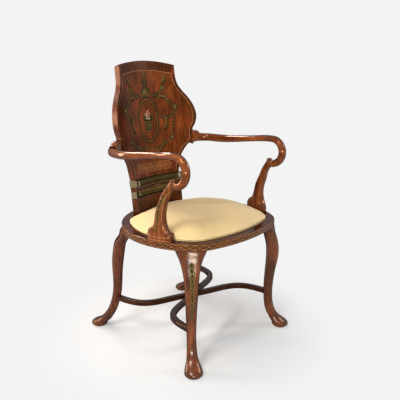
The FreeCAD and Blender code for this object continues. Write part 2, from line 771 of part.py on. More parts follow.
def support_loft():
    """The right arm support, from its moulded foot on the rail up to the crook."""
    foot_half, foot_thickness = size("support_foot_half"), size("support_foot_thickness")
    half, thickness = size("support_half"), size("support_thickness")
    rise = joint_point.z - RAIL_TOP
    lean = joint_point - SUPPORT_FOOT
    lean = Vector(lean.x, lean.y - 1.5, 0)
    foot_top = SUPPORT_FOOT + UP * size("support_foot_height")
    foot = [(point, SUPPORT_WAY, foot_thickness, foot_half, 6.0) for point in (SUPPORT_FOOT, foot_top)]
    stem = foot[1:]
    for number, (share, forward, bow, thick, wide, squareness) in enumerate(SUPPORT_FORM):
        point = SUPPORT_FOOT + lean * forward + SIDE * bow + UP * (share * rise)
        turned = SUPPORT_WAY * (1 - forward) + SIDE * forward
        if number < 4:
            stem.append((point, turned, thick * foot_thickness, wide * foot_half, squareness))
        else:
            stem.append((point, turned, thick * thickness, wide * half, squareness))
    follow = 1 / (2 * SUPPORT_RADIUS)
    return swept(foot, UP, follow).fuse(swept(stem, UP, follow)).removeSplitter()


ahead_box = Part.makeBox(2 * FAR, FAR, 2 * FAR, Vector(-FAR, joint_point.y - FAR, -FAR))
behind_box = Part.makeBox(4 * size("crook_radius"), 2 * size("crook_radius"), 1.5 * size("crook_radius"))
behind_box.translate(joint_point - Vector(2, 0, 0.75) * size("crook_radius"))
crook_dowel = dowel(joint_point, Vector(0, 1, 0))
crook_hole = dowel(joint_point, Vector(0, 1, 0), GAP)

screws, screw_holes = [], []
for side in (-1, 1):
    along = UP.cross(SUPPORT_WAY) * (side * size("support_foot_half") / 2)
    head = SUPPORT_FOOT + along - UP * size("rail_thickness")
    screws.append(screw(head, UP, size("screw_length")))
    screw_holes.append(screw(head, UP, size("screw_length"), GAP))

arm = arm_loft().cut([behind_box, prism, crook_hole, arm_hole])
support = support_loft().cut([ahead_box, crook_hole] + screw_holes)
add_pair("arm", arm)
add_pair("arm_support", support)
add_piece("crook_dowels", Part.makeCompound([crook_dowel, mirrored(crook_dowel)]))
add_piece("arm_dowels", Part.makeCompound([dowel_at_splat(), mirrored(dowel_at_splat())]))
add_piece("support_screws", Part.makeCompound(screws + [mirrored(item) for item in screws]))


# Seat rails: one ring with a rebated well, sawn into four and half-lapped over the legs

outside = plan_solid(RAIL_PLAN, RAIL_BOTTOM, RAIL_TOP)
top_edges = [edge for edge in outside.Edges if edge.BoundBox.ZMin > RAIL_TOP - 0.01]
outside = outside.makeFillet(size("rail_edge_round"), top_edges)
ring = outside.cut([
    plan_solid(WELL_PLAN, LEDGE_TOP, RAIL_TOP),
    plan_solid(LEDGE_PLAN, RAIL_BOTTOM, LEDGE_TOP),
])
joints = [leg_tenon(front, GAP) for front in (True, False)]
joints += [mirrored(hole) for hole in joints]
slot = tongue(GAP)
slot.Placement = AXIS_PLACE
ring = ring.cut(joints + [slot] + screw_holes + [mirrored(hole) for hole in screw_holes])


def sector(start, end, bottom, top):
    """Wedge about the middle of the seat between two headings."""
    wedge = Part.makeCylinder(FAR, top - bottom, Vector(0, 0, bottom), UP, end - start)
    wedge.rotate(Vector(0, 0, 0), UP, start)
    wedge.translate(SEAT_CENTRE)
    return wedge


def joint_heading(front):
    """Heading of a right-hand leg's joint, seen from the middle of the seat."""
    spot = leg_top(front) - SEAT_CENTRE
    return math.degrees(math.atan2(spot.y, spot.x))


def rail(start, end, lap_bottom, lap_top):
    """One rail of the ring; its two laps take up only one half of the thickness."""
    lap = size("lap_half_angle")
    whole = sector(start + lap, end - lap, RAIL_BOTTOM, RAIL_TOP)
    laps = sector(start - lap, end + lap, lap_bottom, lap_top)
    return ring.common(whole.fuse(laps)).removeSplitter()


front_joint, back_joint = joint_heading(True), joint_heading(False)
add_piece("seat_rail_front", rail(-180 - front_joint, front_joint, LEDGE_TOP, RAIL_TOP))
add_piece("seat_rail_back", rail(back_joint, 180 - back_joint, LEDGE_TOP, RAIL_TOP))
add_pair("seat_rail", rail(front_joint, back_joint, RAIL_BOTTOM, LEDGE_TOP))


# Drop-in seat: a mitred frame with webbing, hessian and stuffing under a tacked cover

seat_bottom = LEDGE_TOP + size("rest_gap")
frame_bottom = seat_bottom + size("cover_thickness") + GAP
frame_top = frame_bottom + size("frame_thickness")
webbing = size("webbing_thickness")
upper_webbing = frame_top + webbing + GAP
hessian_bottom = upper_webbing + webbing + GAP
stuffing_bottom = hessian_bottom + size("hessian_thickness") + GAP
COVER_PLAN = inset(WELL_PLAN, size("seat_gap"))
INNER_PLAN = inset(COVER_PLAN, size("cover_thickness"))
FRAME_PLAN = inset(INNER_PLAN, GAP)


def crowned(arcs, bottom, crown):
    """Cushion form: upright edge, then a soft crown drawn in towards the middle."""
    edge = frame_top + GAP
    wires = [plan_wire(arcs, edge)]
    for angle in (15, 30, 45, 60, 75, 85):
        share = math.cos(math.radians(angle)) ** 0.667
        height = crown * math.sin(math.radians(angle)) ** 1.25
        wires.append(plan_wire(shrunk(arcs, share), edge + height))
    form = lofted(wires)
    return form.fuse(plan_solid(arcs, bottom, edge)).removeSplitter()


crown = size("seat_crown")
skin = size("cover_thickness")
cover = crowned(COVER_PLAN, seat_bottom, crown)
cover = cover.cut(crowned(INNER_PLAN, seat_bottom + skin, crown - skin))
hem_opening = inset(COVER_PLAN, size("cover_hem"))
cover = cover.cut(plan_solid(hem_opening, seat_bottom - 1, seat_bottom + skin + 1))
stuffing = crowned(inset(FRAME_PLAN, 2 * GAP), frame_bottom, crown - skin - GAP)
stuffing = stuffing.common(slab(stuffing_bottom, RAIL_TOP + 2 * crown))
hessian_plan = inset(FRAME_PLAN, 8 * size("seat_gap"))
hessian = plan_solid(hessian_plan, hessian_bottom, hessian_bottom + size("hessian_thickness"))

seat_frame = plan_solid(FRAME_PLAN, frame_bottom, frame_top)
seat_frame = seat_frame.cut(plan_solid(inset(FRAME_PLAN, size("frame_width")), frame_bottom, frame_top))


def side_strap(along):
    """Side profile of a strap from end to end of the frame, stepping over the lower straps."""
    end, step = size("seat_radius"), size("webbing_ramp")
    flat = size("webbing_pitch") + size("webbing_width") / 2 + step
    low, high = frame_top, upper_webbing
    under = [(-end, low), (-flat - step, low), (-flat, high), (flat, high), (flat + step, low), (end, low)]
    over = [(across, height + webbing) for across, height in reversed(under)]
    start = along - size("webbing_width") / 2
    points = [Vector(across, start, height) for across, height in under + over]
    return Part.Face(Part.makePolygon(points + points[:1])).extrude(Vector(0, size("webbing_width"), 0))


strap_room = plan_solid(inset(FRAME_PLAN, 4 * size("seat_gap")), frame_top, hessian_bottom)
straps, tacks, tack_holes = [], [], []
for number in (-1, 0, 1):
    offset = number * size("webbing_pitch")
    width = size("webbing_width")
    lower = Part.makeBox(width, 2 * FAR, webbing, Vector(offset - width / 2, -FAR, frame_top))
    upper = side_strap(SEAT_CENTRE.y + offset)
    straps += [lower.common(strap_room), upper.common(strap_room)]


def tack_spots(arcs, count):
    """Evenly spaced spots along a plan outline."""
    outline = plan_wire(arcs, 0)
    return outline.discretize(Number=count + 1)[:-1]


hem_line = inset(COVER_PLAN, 0.6 * size("cover_hem"))
for spot in tack_spots(hem_line, 18):
    head = Vector(spot.x, spot.y, seat_bottom)
    tacks.append(tack(head, UP))
    tack_holes.append(tack(head, UP, GAP))

tack_line = inset(FRAME_PLAN, 0.4 * size("frame_width"))
for strap in straps:
    box = strap.BoundBox
    lengthwise = box.YLength > box.XLength
    for end in (-1, 1):
        for side in (-1, 1):
            shift = side * size("webbing_width") / 4
            line = plan_wire(tack_line, 0)
            if lengthwise:
                ray = Part.LineSegment(
                    Vector(box.Center.x + shift, SEAT_CENTRE.y, 0),
                    Vector(box.Center.x + shift, SEAT_CENTRE.y + end * FAR, 0)).toShape()
            else:
                ray = Part.LineSegment(
                    Vector(0, box.Center.y + shift, 0),
                    Vector(end * FAR, box.Center.y + shift, 0)).toShape()
            spot = line.distToShape(ray)[1][0][0]
            head = Vector(spot.x, spot.y, frame_top + webbing)
            tacks.append(tack(head, -UP))
            tack_holes.append(tack(head, -UP, GAP))

for label, mitre in (("back", 45), ("left", 135), ("front", 225), ("right", 315)):
    part = seat_frame.common(sector(mitre, mitre + 90, frame_bottom - 1, frame_top + 1))
    near = [hole for hole in tack_holes if hole.distToShape(part)[0] < GAP]
    add_piece("seat_frame_" + label, part.cut(near))
add_piece("seat_webbing", Part.makeCompound([strap.cut(tack_holes) for strap in straps]))
add_piece("seat_hessian", hessian)
add_piece("seat_stuffing", stuffing)
add_piece("seat_cover", cover.cut(tack_holes))
add_piece("seat_tacks", Part.makeCompound(tacks))


# Check every object and write one file for each sub-part

doc.recompute()
for item in doc.Objects:
    if "Invalid" in item.State or "Error" in item.State:
        raise RuntimeError(f"{item.Label} could not be worked out: {item.State}")
os.makedirs("parts", exist_ok=True)
for piece in SUBPARTS:
    if piece.Shape.isNull() or not piece.Shape.isValid() or not piece.Shape.Solids:
        raise RuntimeError(f"{piece.Label} has no sound shape")
    piece.Shape.exportStep(f"parts/{piece.Label}.step")
    print(piece.Label, len(piece.Shape.Solids), round(piece.Shape.Volume / 1000, 1), "cm3")
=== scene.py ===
# %% [markdown]
# This lesson dresses an open armchair: a round seat with a drop-in cushion, a concave
# painted back on mouldings, arms that end in a crook, and four cabriole legs with crossed
# stretchers. The hard parts come ready from a CAD model and are never moved. Blender adds
# what makes them look real: polished wood, painted ornament, fabric, light and a camera.
# The first cell loads the model and bakes each part's placement into its mesh.

# %% Load the model
import math
from bisect import bisect_left

import bmesh
import bpy
from mathutils import Matrix, Vector
from mathutils.bvhtree import BVHTree


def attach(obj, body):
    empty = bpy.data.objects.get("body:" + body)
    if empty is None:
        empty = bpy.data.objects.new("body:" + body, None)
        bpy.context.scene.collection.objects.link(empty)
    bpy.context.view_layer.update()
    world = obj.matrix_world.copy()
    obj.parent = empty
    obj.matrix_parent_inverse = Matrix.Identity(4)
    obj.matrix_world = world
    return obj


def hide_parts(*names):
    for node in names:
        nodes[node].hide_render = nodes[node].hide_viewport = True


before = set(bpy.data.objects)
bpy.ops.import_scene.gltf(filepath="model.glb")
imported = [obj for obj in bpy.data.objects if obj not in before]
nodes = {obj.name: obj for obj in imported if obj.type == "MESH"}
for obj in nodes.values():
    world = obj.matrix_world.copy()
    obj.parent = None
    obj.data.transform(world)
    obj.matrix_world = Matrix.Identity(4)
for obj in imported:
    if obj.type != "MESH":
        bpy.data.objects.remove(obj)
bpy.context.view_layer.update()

CHAIR, SEAT = "chair", "drop_in_seat"
SEAT_CENTRE = Vector((0.0, -0.058, 0.0))
SEAT_RADIUS = 0.281
RAIL_TOP = 0.445
UP = Vector((0.0, 0.0, 1.0))

# %% [markdown]
# The camera stands front left of the chair, a little over a metre up, and looks slightly
# down. Its place, turn and lens come from fitting the chair's own symmetry to the
# photograph, so the render can be laid over it point for point. Setting the camera first
# is good practice: every later choice of detail can then be judged in the real view.

# %% Camera
camera_data = bpy.data.cameras.new("camera")
camera_data.sensor_width = 36.0
camera_data.lens = 49.96
camera = bpy.data.objects.new("camera", camera_data)
bpy.context.collection.objects.link(camera)
camera.location = (-1.421, -1.389, 1.034)
camera.rotation_euler = (math.radians(75.15), 0.0, math.radians(-46.96))
bpy.context.scene.camera = camera
print("camera", camera.location[:], "lens", camera_data.lens)

# %% [markdown]
# Every material in this lesson is a small network of nodes. One helper adds a node and
# fills its inputs by name, with a number, a colour or the output of another node.

# %% Adding nodes
def feed(socket, value):
    """Gives an input a number, a colour or the output of another node."""
    if isinstance(value, bpy.types.NodeSocket):
        socket.id_data.links.new(value, socket)
    elif socket.type == "RGBA":
        socket.default_value = (*value, 1.0)
    else:
        socket.default_value = value


def fill(item, **values):
    """Feeds inputs by name; an underscore stands for a space."""
    for key, value in values.items():
        feed(item.inputs[key.replace("_", " ")], value)


def node(tree, kind, **settings):
    """Adds a shader node. Its own settings have small letters, its inputs have capitals."""
    item = tree.nodes.new("ShaderNode" + kind)
    for key, value in settings.items():
        if key[0].islower():
            setattr(item, key, value)
        else:
            fill(item, **{key: value})
    return item

# %% [markdown]
# The same few nodes come back in every material: a noise, a colour ramp, a mix of two
# colours, a change of range, a sum and a bump. A short helper for each keeps the
# materials readable, because each line then says what it does to the colour.

# %% Common nodes
WHITE = (1.0, 1.0, 1.0)


def noise(tree, place, scale, **settings):
    return node(tree, "TexNoise", Vector=place, Scale=scale, **settings).outputs["Fac"]


def ramp(tree, factor, stops):
    """Colour ramp through (place, colour) stops."""
    item = node(tree, "ValToRGB", Fac=factor)
    elements = item.color_ramp.elements
    while len(elements) < len(stops):
        elements.new(0.5)
    for element, (place, colour) in zip(elements, stops):
        element.position = place
        element.color = (*colour, 1.0)
    return item.outputs["Color"]


def blend(tree, kind, factor, first, second):
    """Mixes two colours."""
    item = node(tree, "Mix", data_type="RGBA", blend_type=kind, Factor=factor, A=first, B=second)
    return item.outputs["Result"]


def remap(tree, value, low, high, start=0.0, end=1.0, kind="LINEAR"):
    """Carries a value from the span start to end over to the span low to high."""
    item = node(tree, "MapRange", interpolation_type=kind, Value=value, From_Min=start, From_Max=end,
                To_Min=low, To_Max=high)
    return item.outputs[0]


def maths(tree, operation, *values):
    item = node(tree, "Math", operation=operation)
    for socket, value in zip(item.inputs, values):
        feed(socket, value)
    return item.outputs[0]


def bumped(tree, height, strength, distance, **normal):
    item = node(tree, "Bump", Strength=strength, Distance=distance, Height=height, **normal)
    return item.outputs[0]


def stretched(tree, place, scale):
    """Coordinates pulled out along one axis or more."""
    return node(tree, "Mapping", Scale=scale, Vector=place).outputs[0]


def mix_shaders(tree, factor, first, second):
    item = node(tree, "MixShader", Fac=factor)
    feed(item.inputs[1], first.outputs[0])
    feed(item.inputs[2], second.outputs[0])
    return item

# %% [markdown]
# A new material starts with nothing but the Principled shader, and hands back the object's
# coordinates, because every pattern here is laid out in them. A new object is linked to
# the scene with its material.

# %% Starting materials and objects
def empty_tree(owner):
    """Turns a material's or world's nodes on and clears them."""
    owner.use_nodes = True
    owner.node_tree.nodes.clear()
    return owner.node_tree


def start_material(name):
    """Returns a new material, its tree, its shader and the object's coordinates."""
    material = bpy.data.materials.new(name)
    tree = empty_tree(material)
    shader = node(tree, "BsdfPrincipled")
    node(tree, "OutputMaterial", Surface=shader.outputs[0])
    return material, tree, shader, node(tree, "TexCoord").outputs["Object"]


def new_object(name, mesh, material):
    piece = bpy.data.objects.new(name, mesh)
    bpy.context.collection.objects.link(piece)
    mesh.materials.append(material)
    return piece

# %% [markdown]
# A pale floor and a pale world give the plain studio look. A Light Path node shows the
# pale background to camera, mirror and glass rays only, and gives the object a softer
# light. The floor fades to that background away from the chair and keeps the shadow close
# to it. It throws less light back up than it shows, so the undersides stay deep in tone,
# and from below it can be seen through.

# %% World and floor
BACKGROUND = (0.896, 0.896, 0.893)
SOFT_LIGHT, SOFT_STRENGTH = (0.95, 0.97, 1.0), 0.27
FLOOR_HALF, FLOOR_LEVEL = 6.0, -0.0003
SHADOW_NEAR, SHADOW_FAR, SHADOW_LIFT = 0.25, 0.62, 0.25
FLOOR_SEEN, FLOOR_BOUNCE = (0.69, 0.695, 0.70), (0.35, 0.35, 0.35)


def make_world():
    world = bpy.data.worlds.new("studio")
    tree = empty_tree(world)
    path = node(tree, "LightPath")
    direct = path.outputs["Is Camera Ray"]
    for kind in ("Is Glossy Ray", "Is Transmission Ray"):
        direct = maths(tree, "MAXIMUM", direct, path.outputs[kind])
    soft = node(tree, "Background", Color=SOFT_LIGHT, Strength=SOFT_STRENGTH)
    plain = node(tree, "Background", Color=BACKGROUND)
    node(tree, "OutputWorld", Surface=mix_shaders(tree, direct, soft, plain).outputs[0])
    return world


def make_floor():
    mesh = bpy.data.meshes.new("floor")
    corners = [(x * FLOOR_HALF, y * FLOOR_HALF, FLOOR_LEVEL) for x, y in ((-1, -1), (1, -1), (1, 1), (-1, 1))]
    mesh.from_pydata(corners, [], [(0, 1, 2, 3)])
    material = bpy.data.materials.new("floor")
    tree = empty_tree(material)
    seen = node(tree, "LightPath").outputs["Is Camera Ray"]
    matt = node(tree, "BsdfDiffuse", Color=blend(tree, "MIX", seen, FLOOR_BOUNCE, FLOOR_SEEN))
    place = node(tree, "NewGeometry")
    away = node(tree, "VectorMath", operation="LENGTH")
    feed(away.inputs[0], place.outputs["Position"])
    fade = remap(tree, away.outputs["Value"], SHADOW_LIFT, 1.0, SHADOW_NEAR, SHADOW_FAR, "SMOOTHSTEP")
    shown = mix_shaders(tree, fade, matt, node(tree, "Emission", Color=BACKGROUND))
    sided = mix_shaders(tree, place.outputs["Backfacing"], shown, node(tree, "BsdfTransparent"))
    node(tree, "OutputMaterial", Surface=sided.outputs[0])
    return new_object("floor", mesh, material)


bpy.context.scene.world = make_world()
make_floor()
bpy.context.scene.view_settings.view_transform = "Standard"
print("world and floor ready")

# %% [markdown]
# Five soft lamps do the lighting. The key lamp and a weak one on the right show the form.
# The others stand where the camera sees their reflections: the front lamp in the near
# knee, the rim lamp in the edge of the back, the wide back lamp along the tops of the
# arms. Shine on round wood is a picture of the lamps.

# %% Lamps
def area_light(name, place, target, width, height, power, colour):
    """A soft lamp that faces a point; it is as wide and as high as given."""
    data = bpy.data.lights.new(name, "AREA")
    data.shape = "RECTANGLE"
    data.size = width
    data.size_y = height
    data.energy = power
    data.color = colour
    lamp = bpy.data.objects.new(name, data)
    bpy.context.collection.objects.link(lamp)
    lamp.location = place
    lamp.rotation_euler = (Vector(target) - Vector(place)).to_track_quat("-Z", "Y").to_euler()


area_light("key", (-2.1, -0.6, 2.7), (0, 0, 0.5), 0.9, 0.9, 70, (1.0, 0.96, 0.91))
area_light("front", (-1.85, -1.75, 0.62), (-0.2, -0.2, 0.4), 1.0, 0.35, 34, (0.86, 0.95, 1.0))
area_light("rim", (-1.5, 1.95, 0.95), (-0.2, 0.2, 0.7), 0.35, 1.3, 32, (1.0, 0.76, 0.58))
area_light("back", (-0.1, 1.8, 2.2), (0, 0, 0.6), 2.0, 0.3, 46, (1.0, 0.94, 0.88))
area_light("right", (1.7, -1.6, 1.8), (0, 0, 0.5), 0.6, 0.6, 15, (1.0, 0.97, 0.93))

# %% [markdown]
# Old polished mahogany needs several layers in one shader. A broad slow noise makes the
# figure, a finer one pulled out along the grain makes the streaks, and a very fine one the
# pores. On the round seat rail the grain follows the curve, so its coordinates are bent.
# A Bevel node rounds every sharp CAD edge a little in the shading, and where its normal
# differs from the true one the polish is worn paler, as hands leave it.

# %% Grain and worn edges
EDGE_RADIUS, EDGE_SAMPLES = 0.0016, 4
EDGE_STARTS, EDGE_FULL = 0.985, 0.85


def round_coordinates(tree, place):
    """Coordinates that run round the seat: way round, distance back, height."""
    split = node(tree, "SeparateXYZ", Vector=place)
    back = maths(tree, "ADD", split.outputs["Y"], -SEAT_CENTRE.y)
    angle = maths(tree, "ARCTAN2", split.outputs["X"], back)
    along = maths(tree, "MULTIPLY", angle, SEAT_RADIUS)
    return node(tree, "CombineXYZ", X=along, Y=back, Z=split.outputs["Z"]).outputs[0]


def worn_edges(tree):
    """Softly bevelled normal, and a mask that is one on the edges."""
    soft = node(tree, "Bevel", samples=EDGE_SAMPLES, Radius=EDGE_RADIUS).outputs[0]
    match = node(tree, "VectorMath", operation="DOT_PRODUCT")
    feed(match.inputs[0], soft)
    feed(match.inputs[1], node(tree, "NewGeometry").outputs["Normal"])
    return soft, remap(tree, match.outputs["Value"], 0.0, 1.0, EDGE_STARTS, EDGE_FULL)

# %% [markdown]
# Seen edge on, the wood is given painted shade: its base colour is darkened towards a dark
# brown at the rim, where dark surroundings would be reflected, and its shine is turned down
# there. The Facing output of a Layer Weight node grows towards the rim of a round piece, so it
# can drive both. The tint warms the reflections, which would otherwise lay a grey film over
# the dark wood.

# %% Wood material
# Painted rim shade: the dark brown that the colour turns towards the rim, and how wide that runs.
RIM_PAINTED_SHADE, RIM_WIDTH = (0.30, 0.20, 0.16), 0.5


def wood_material(name, grain, tones, gloss=(0.07, 0.17), round_seat=False, figure=1.0,
                  tint=(1.0, 0.56, 0.33), shine=0.50, stain=(0.72, 0.66, 0.62), rim_shade_from=0.30):
    """Polished wood. grain is the stretch along each axis: small numbers run with the grain."""
    material, tree, shader, place = start_material(name)
    dark, middle, light = tones
    if round_seat:
        place = round_coordinates(tree, place)
    fibres = stretched(tree, place, grain)
    slow = noise(tree, fibres, 5.0 * figure, Detail=4.0, Roughness=0.55, Distortion=0.6)
    streaks = noise(tree, fibres, 42.0, Detail=6.0, Roughness=0.62, Distortion=0.15)
    pores = noise(tree, fibres, 210.0, Detail=3.0, Roughness=0.6)
    fibre = node(tree, "Mix", data_type="FLOAT", Factor=0.45, A=slow, B=streaks).outputs["Result"]
    colour = ramp(tree, fibre, [(0.36, dark), (0.5, middle), (0.66, light)])
    cloud = ramp(tree, noise(tree, place, 14.0, Detail=2.0), [(0.38, stain), (0.62, (1.12, 1.1, 1.08))])
    colour = blend(tree, "MULTIPLY", 0.8, colour, cloud)
    pits = ramp(tree, pores, [(0.44, (0.6, 0.6, 0.6)), (0.56, WHITE)])
    colour = blend(tree, "MULTIPLY", 0.55, colour, pits)
    normal, edges = worn_edges(tree)
    colour = blend(tree, "MIX", maths(tree, "MULTIPLY", edges, 0.55), colour, light)
    facing = node(tree, "LayerWeight", Blend=0.5).outputs["Facing"]
    # Painted shade: the base colour darkens towards the rim, standing in for dark surroundings.
    rim = ramp(tree, facing, [(rim_shade_from, WHITE), (rim_shade_from + RIM_WIDTH, RIM_PAINTED_SHADE)])
    fill(shader, Base_Color=blend(tree, "MULTIPLY", 1.0, colour, rim),
         Specular_IOR_Level=remap(tree, facing, shine, 0.0, 0.35, 0.78, "SMOOTHSTEP"),
         Specular_Tint=tint, Roughness=remap(tree, slow, *gloss),
         Normal=bumped(tree, pores, 0.12, 0.0004, Normal=normal))
    return material

# %% [markdown]
# The grain has to follow each piece, so the material is made once for each direction of
# the grain. Each kind of wood has a dark, a middle and a light tone: the legs are a little
# darker than the arms. The stretchers are the same mahogany, given painted shade: their
# tones are darkened to nearly black brown, as they lie in the shadow of the seat.

# %% Dress the wood
MAHOGANY = ((0.036, 0.007, 0.002), (0.155, 0.036, 0.008), (0.340, 0.100, 0.024))
PANEL = ((0.060, 0.010, 0.002), (0.150, 0.029, 0.0055), (0.245, 0.058, 0.011))
RAIL = ((0.020, 0.0045, 0.0013), (0.056, 0.0122, 0.0034), (0.135, 0.035, 0.0086))
LEG = ((0.028, 0.0055, 0.0018), (0.118, 0.026, 0.0058), (0.270, 0.074, 0.016))
# Painted shade: mahogany tones darkened to nearly black brown for the stretchers under the seat.
STRETCHER_PAINTED_SHADE = ((0.011, 0.003, 0.001), (0.034, 0.009, 0.003), (0.085, 0.024, 0.007))
BEECH = ((0.30, 0.17, 0.08), (0.42, 0.26, 0.13), (0.52, 0.35, 0.19))
WITH_X, WITH_Y, WITH_Z = (1.0, 9.0, 9.0), (9.0, 1.0, 9.0), (9.0, 9.0, 1.0)
wood_leg = wood_material("wood_leg", WITH_Z, LEG, gloss=(0.13, 0.25), tint=(1.0, 0.82, 0.68), shine=0.45)
wood_up = wood_material("wood_up", WITH_Z, MAHOGANY)
wood_along = wood_material("wood_along", WITH_Y, MAHOGANY)
wood_across = wood_material("wood_across", WITH_X, RAIL)
# The stretchers' material carries painted shade in its darkened tones.
wood_painted_shade = wood_material("wood_painted_shade", WITH_Y, STRETCHER_PAINTED_SHADE, shine=0.24)
wood_panel = wood_material("wood_panel", WITH_Z, PANEL, gloss=(0.22, 0.40), figure=1.6, shine=0.22,
                           stain=(0.46, 0.50, 0.34))
wood_rail = wood_material("wood_rail", WITH_X, RAIL, round_seat=True, shine=0.40, rim_shade_from=0.62)
wood_band = wood_material("wood_band", WITH_Z, RAIL, gloss=(0.25, 0.42), figure=3.0, shine=0.22)
beech = wood_material("beech", WITH_X, BEECH, gloss=(0.55, 0.7), tint=WHITE, shine=0.3)


def named(*starts):
    """Names of the CAD nodes that start with one of the words."""
    return [name for name in nodes if name.startswith(starts)]


def dress(names, material):
    """Gives CAD nodes a material."""
    for name in names:
        for slot in nodes[name].material_slots:
            slot.material = material
    print("dressed", len(names), "nodes in", material.name)


dress(named("leg_", "knee_"), wood_leg)
dress(named("arm_support"), wood_up)
dress(["arm_left", "arm_right"], wood_along)
dress(["stretcher_upper", "stretcher_lower"], wood_painted_shade)
dress(["back_panel"], wood_panel)
dress(["back_plinth", "back_cove"], wood_across)
dress(named("seat_rail"), wood_rail)
dress(named("seat_frame") + ["arm_dowels", "crook_dowels"], beech)

# %% [markdown]
# Old steel is never one grey. The screws and tacks get a brushed look from a stretched
# noise, with brown rust where a second noise is high, and rust is rougher than metal.

# %% Steel
def steel_material():
    material, tree, shader, place = start_material("steel")
    rust = noise(tree, place, 420.0, Detail=5.0)
    scratches = noise(tree, stretched(tree, place, (1.0, 6.0, 1.0)), 900.0, Detail=2.0)
    fill(shader, Base_Color=ramp(tree, rust, [(0.45, (0.33, 0.31, 0.29)), (0.62, (0.13, 0.062, 0.032))]),
         Roughness=remap(tree, rust, 0.3, 0.75), Metallic=0.9,
         Normal=bumped(tree, scratches, 0.3, 0.0002))
    return material


dress(["support_screws", "stretcher_screw", "seat_tacks"], steel_material())

# %% [markdown]
# Woven cloth can be made without any image. Two Wave textures, one across and one along,
# are the warp and the weft; where one is high the other thread goes under it. Slow noise
# stains the cloth a little and fast noise makes single threads thicker. The pattern uses
# object coordinates, so it needs no UV map and survives the remeshing of the cushion.

# %% Fabric
def weave_material(name, pitch, light, dark, depth, fuzz=0.3):
    """Plain weave; pitch is the distance from thread to thread in metres."""
    material, tree, shader, place = start_material(name)
    threads = [node(tree, "TexWave", bands_direction=axis, Scale=2 * math.pi / (20 * pitch), Distortion=0.6,
                    Detail=1.0, Detail_Scale=0.6, Vector=place).outputs["Fac"] for axis in ("X", "Y")]
    height = maths(tree, "ADD", *threads)
    slubs = noise(tree, stretched(tree, place, (1.0, 4.0, 1.0)), 160.0, Detail=3.0)
    stains = noise(tree, place, 7.0, Detail=4.0)
    colour = ramp(tree, maths(tree, "MULTIPLY", height, 0.5), [(0.1, dark), (0.6, light)])
    uneven = ramp(tree, slubs, [(0.35, (0.86, 0.84, 0.80)), (0.65, WHITE)])
    soiled = ramp(tree, stains, [(0.35, (0.90, 0.87, 0.80)), (0.6, WHITE)])
    colour = blend(tree, "MULTIPLY", 0.7, colour, uneven)
    colour = blend(tree, "MULTIPLY", 0.8, colour, soiled)
    fill(shader, Base_Color=colour, Roughness=remap(tree, slubs, 0.72, 0.95), Sheen_Weight=fuzz,
         Sheen_Roughness=0.45, Normal=bumped(tree, height, 0.55, depth))
    return material


cover_cloth = weave_material("cover_cloth", 0.0014, (0.86, 0.640, 0.310), (0.66, 0.465, 0.210), 0.0003)
hessian_cloth = weave_material("hessian_cloth", 0.0026, (0.42, 0.30, 0.16), (0.12, 0.075, 0.035), 0.0006, 0.1)
strap_cloth = weave_material("strap_cloth", 0.0019, (0.50, 0.38, 0.22), (0.24, 0.16, 0.08), 0.0005, 0.1)
print("cloths", cover_cloth.name, hessian_cloth.name, strap_cloth.name)

# %% [markdown]
# The cushion starts as a closed form of rings whose outline is read from the CAD cover by
# casting rays, so it fits whatever size the CAD has. A search tree over the faces makes
# many rays cheap.

# %% Outline of the seat
FAR_OUT = 0.6
AROUND = 144
OUTLINE_HEIGHT = 0.441


def surface_of(*names):
    """A search tree over the faces of CAD nodes, for casting rays."""
    points, faces = [], []
    for name in names:
        mesh = nodes[name].data
        first = len(points)
        points += [vertex.co.copy() for vertex in mesh.vertices]
        faces += [[first + index for index in polygon.vertices] for polygon in mesh.polygons]
    return BVHTree.FromPolygons(points, faces)


def way(angle):
    """Level unit vector at an angle."""
    return Vector((math.cos(angle), math.sin(angle), 0.0))


def full_turn(count):
    """Angles that go once round in even steps."""
    return [2 * math.pi * step / count for step in range(count)]


def from_outside(tree, angle, height):
    """Place and normal where a level ray towards the seat's centre meets a surface."""
    direction = way(angle)
    start = SEAT_CENTRE + direction * FAR_OUT + UP * height
    return tree.ray_cast(start, -direction)[:2]


cover_tree = surface_of("seat_cover")
angles = full_turn(AROUND)
outline = [(from_outside(cover_tree, angle, OUTLINE_HEIGHT)[0] - SEAT_CENTRE).xy.length for angle in angles]
print("outline from", round(min(outline), 4), "to", round(max(outline), 4))

# %% [markdown]
# The stuffed upper part bulges past that outline, more at the back than at the front,
# where it was sat flat. Rays against the arm supports and the back tell how far it may go
# at each angle and stay clear of them. The answers are smoothed, but never past a limit.

# %% Room to bulge
MEAN_ROOM, BACK_ROOM, LEAST_ROOM = 0.0042, 0.0028, -0.004
WOOD_CLEAR, RAY_INSET, RAY_LENGTH = 0.0015, 0.02, 0.05
near_tree = surface_of(*named("arm_support", "back_plinth", "back_bead", "back_cove", "back_roll"))


def room_at(angle, reach):
    """How far the pad may bulge past the edge and stay clear of the woodwork."""
    direction = way(angle)
    room = MEAN_ROOM + BACK_ROOM * direction.y
    for height in (0.450, 0.460, 0.470):
        start = SEAT_CENTRE + direction * (reach - RAY_INSET) + UP * height
        hit = near_tree.ray_cast(start, direction, RAY_LENGTH)
        if hit[0]:
            room = min(room, hit[3] - RAY_INSET - WOOD_CLEAR)
    return max(room, LEAST_ROOM)


def neighbours(values, place):
    """The seven values round a place in a list that goes once round."""
    return [values[(place + k) % len(values)] for k in range(-3, 4)]


def at_angle(values, angle):
    """Value at any angle, from a list that goes once round."""
    place = angle / (2 * math.pi) % 1.0 * AROUND
    index = int(place)
    share = place - index
    return values[index % AROUND] * (1 - share) + values[(index + 1) % AROUND] * share


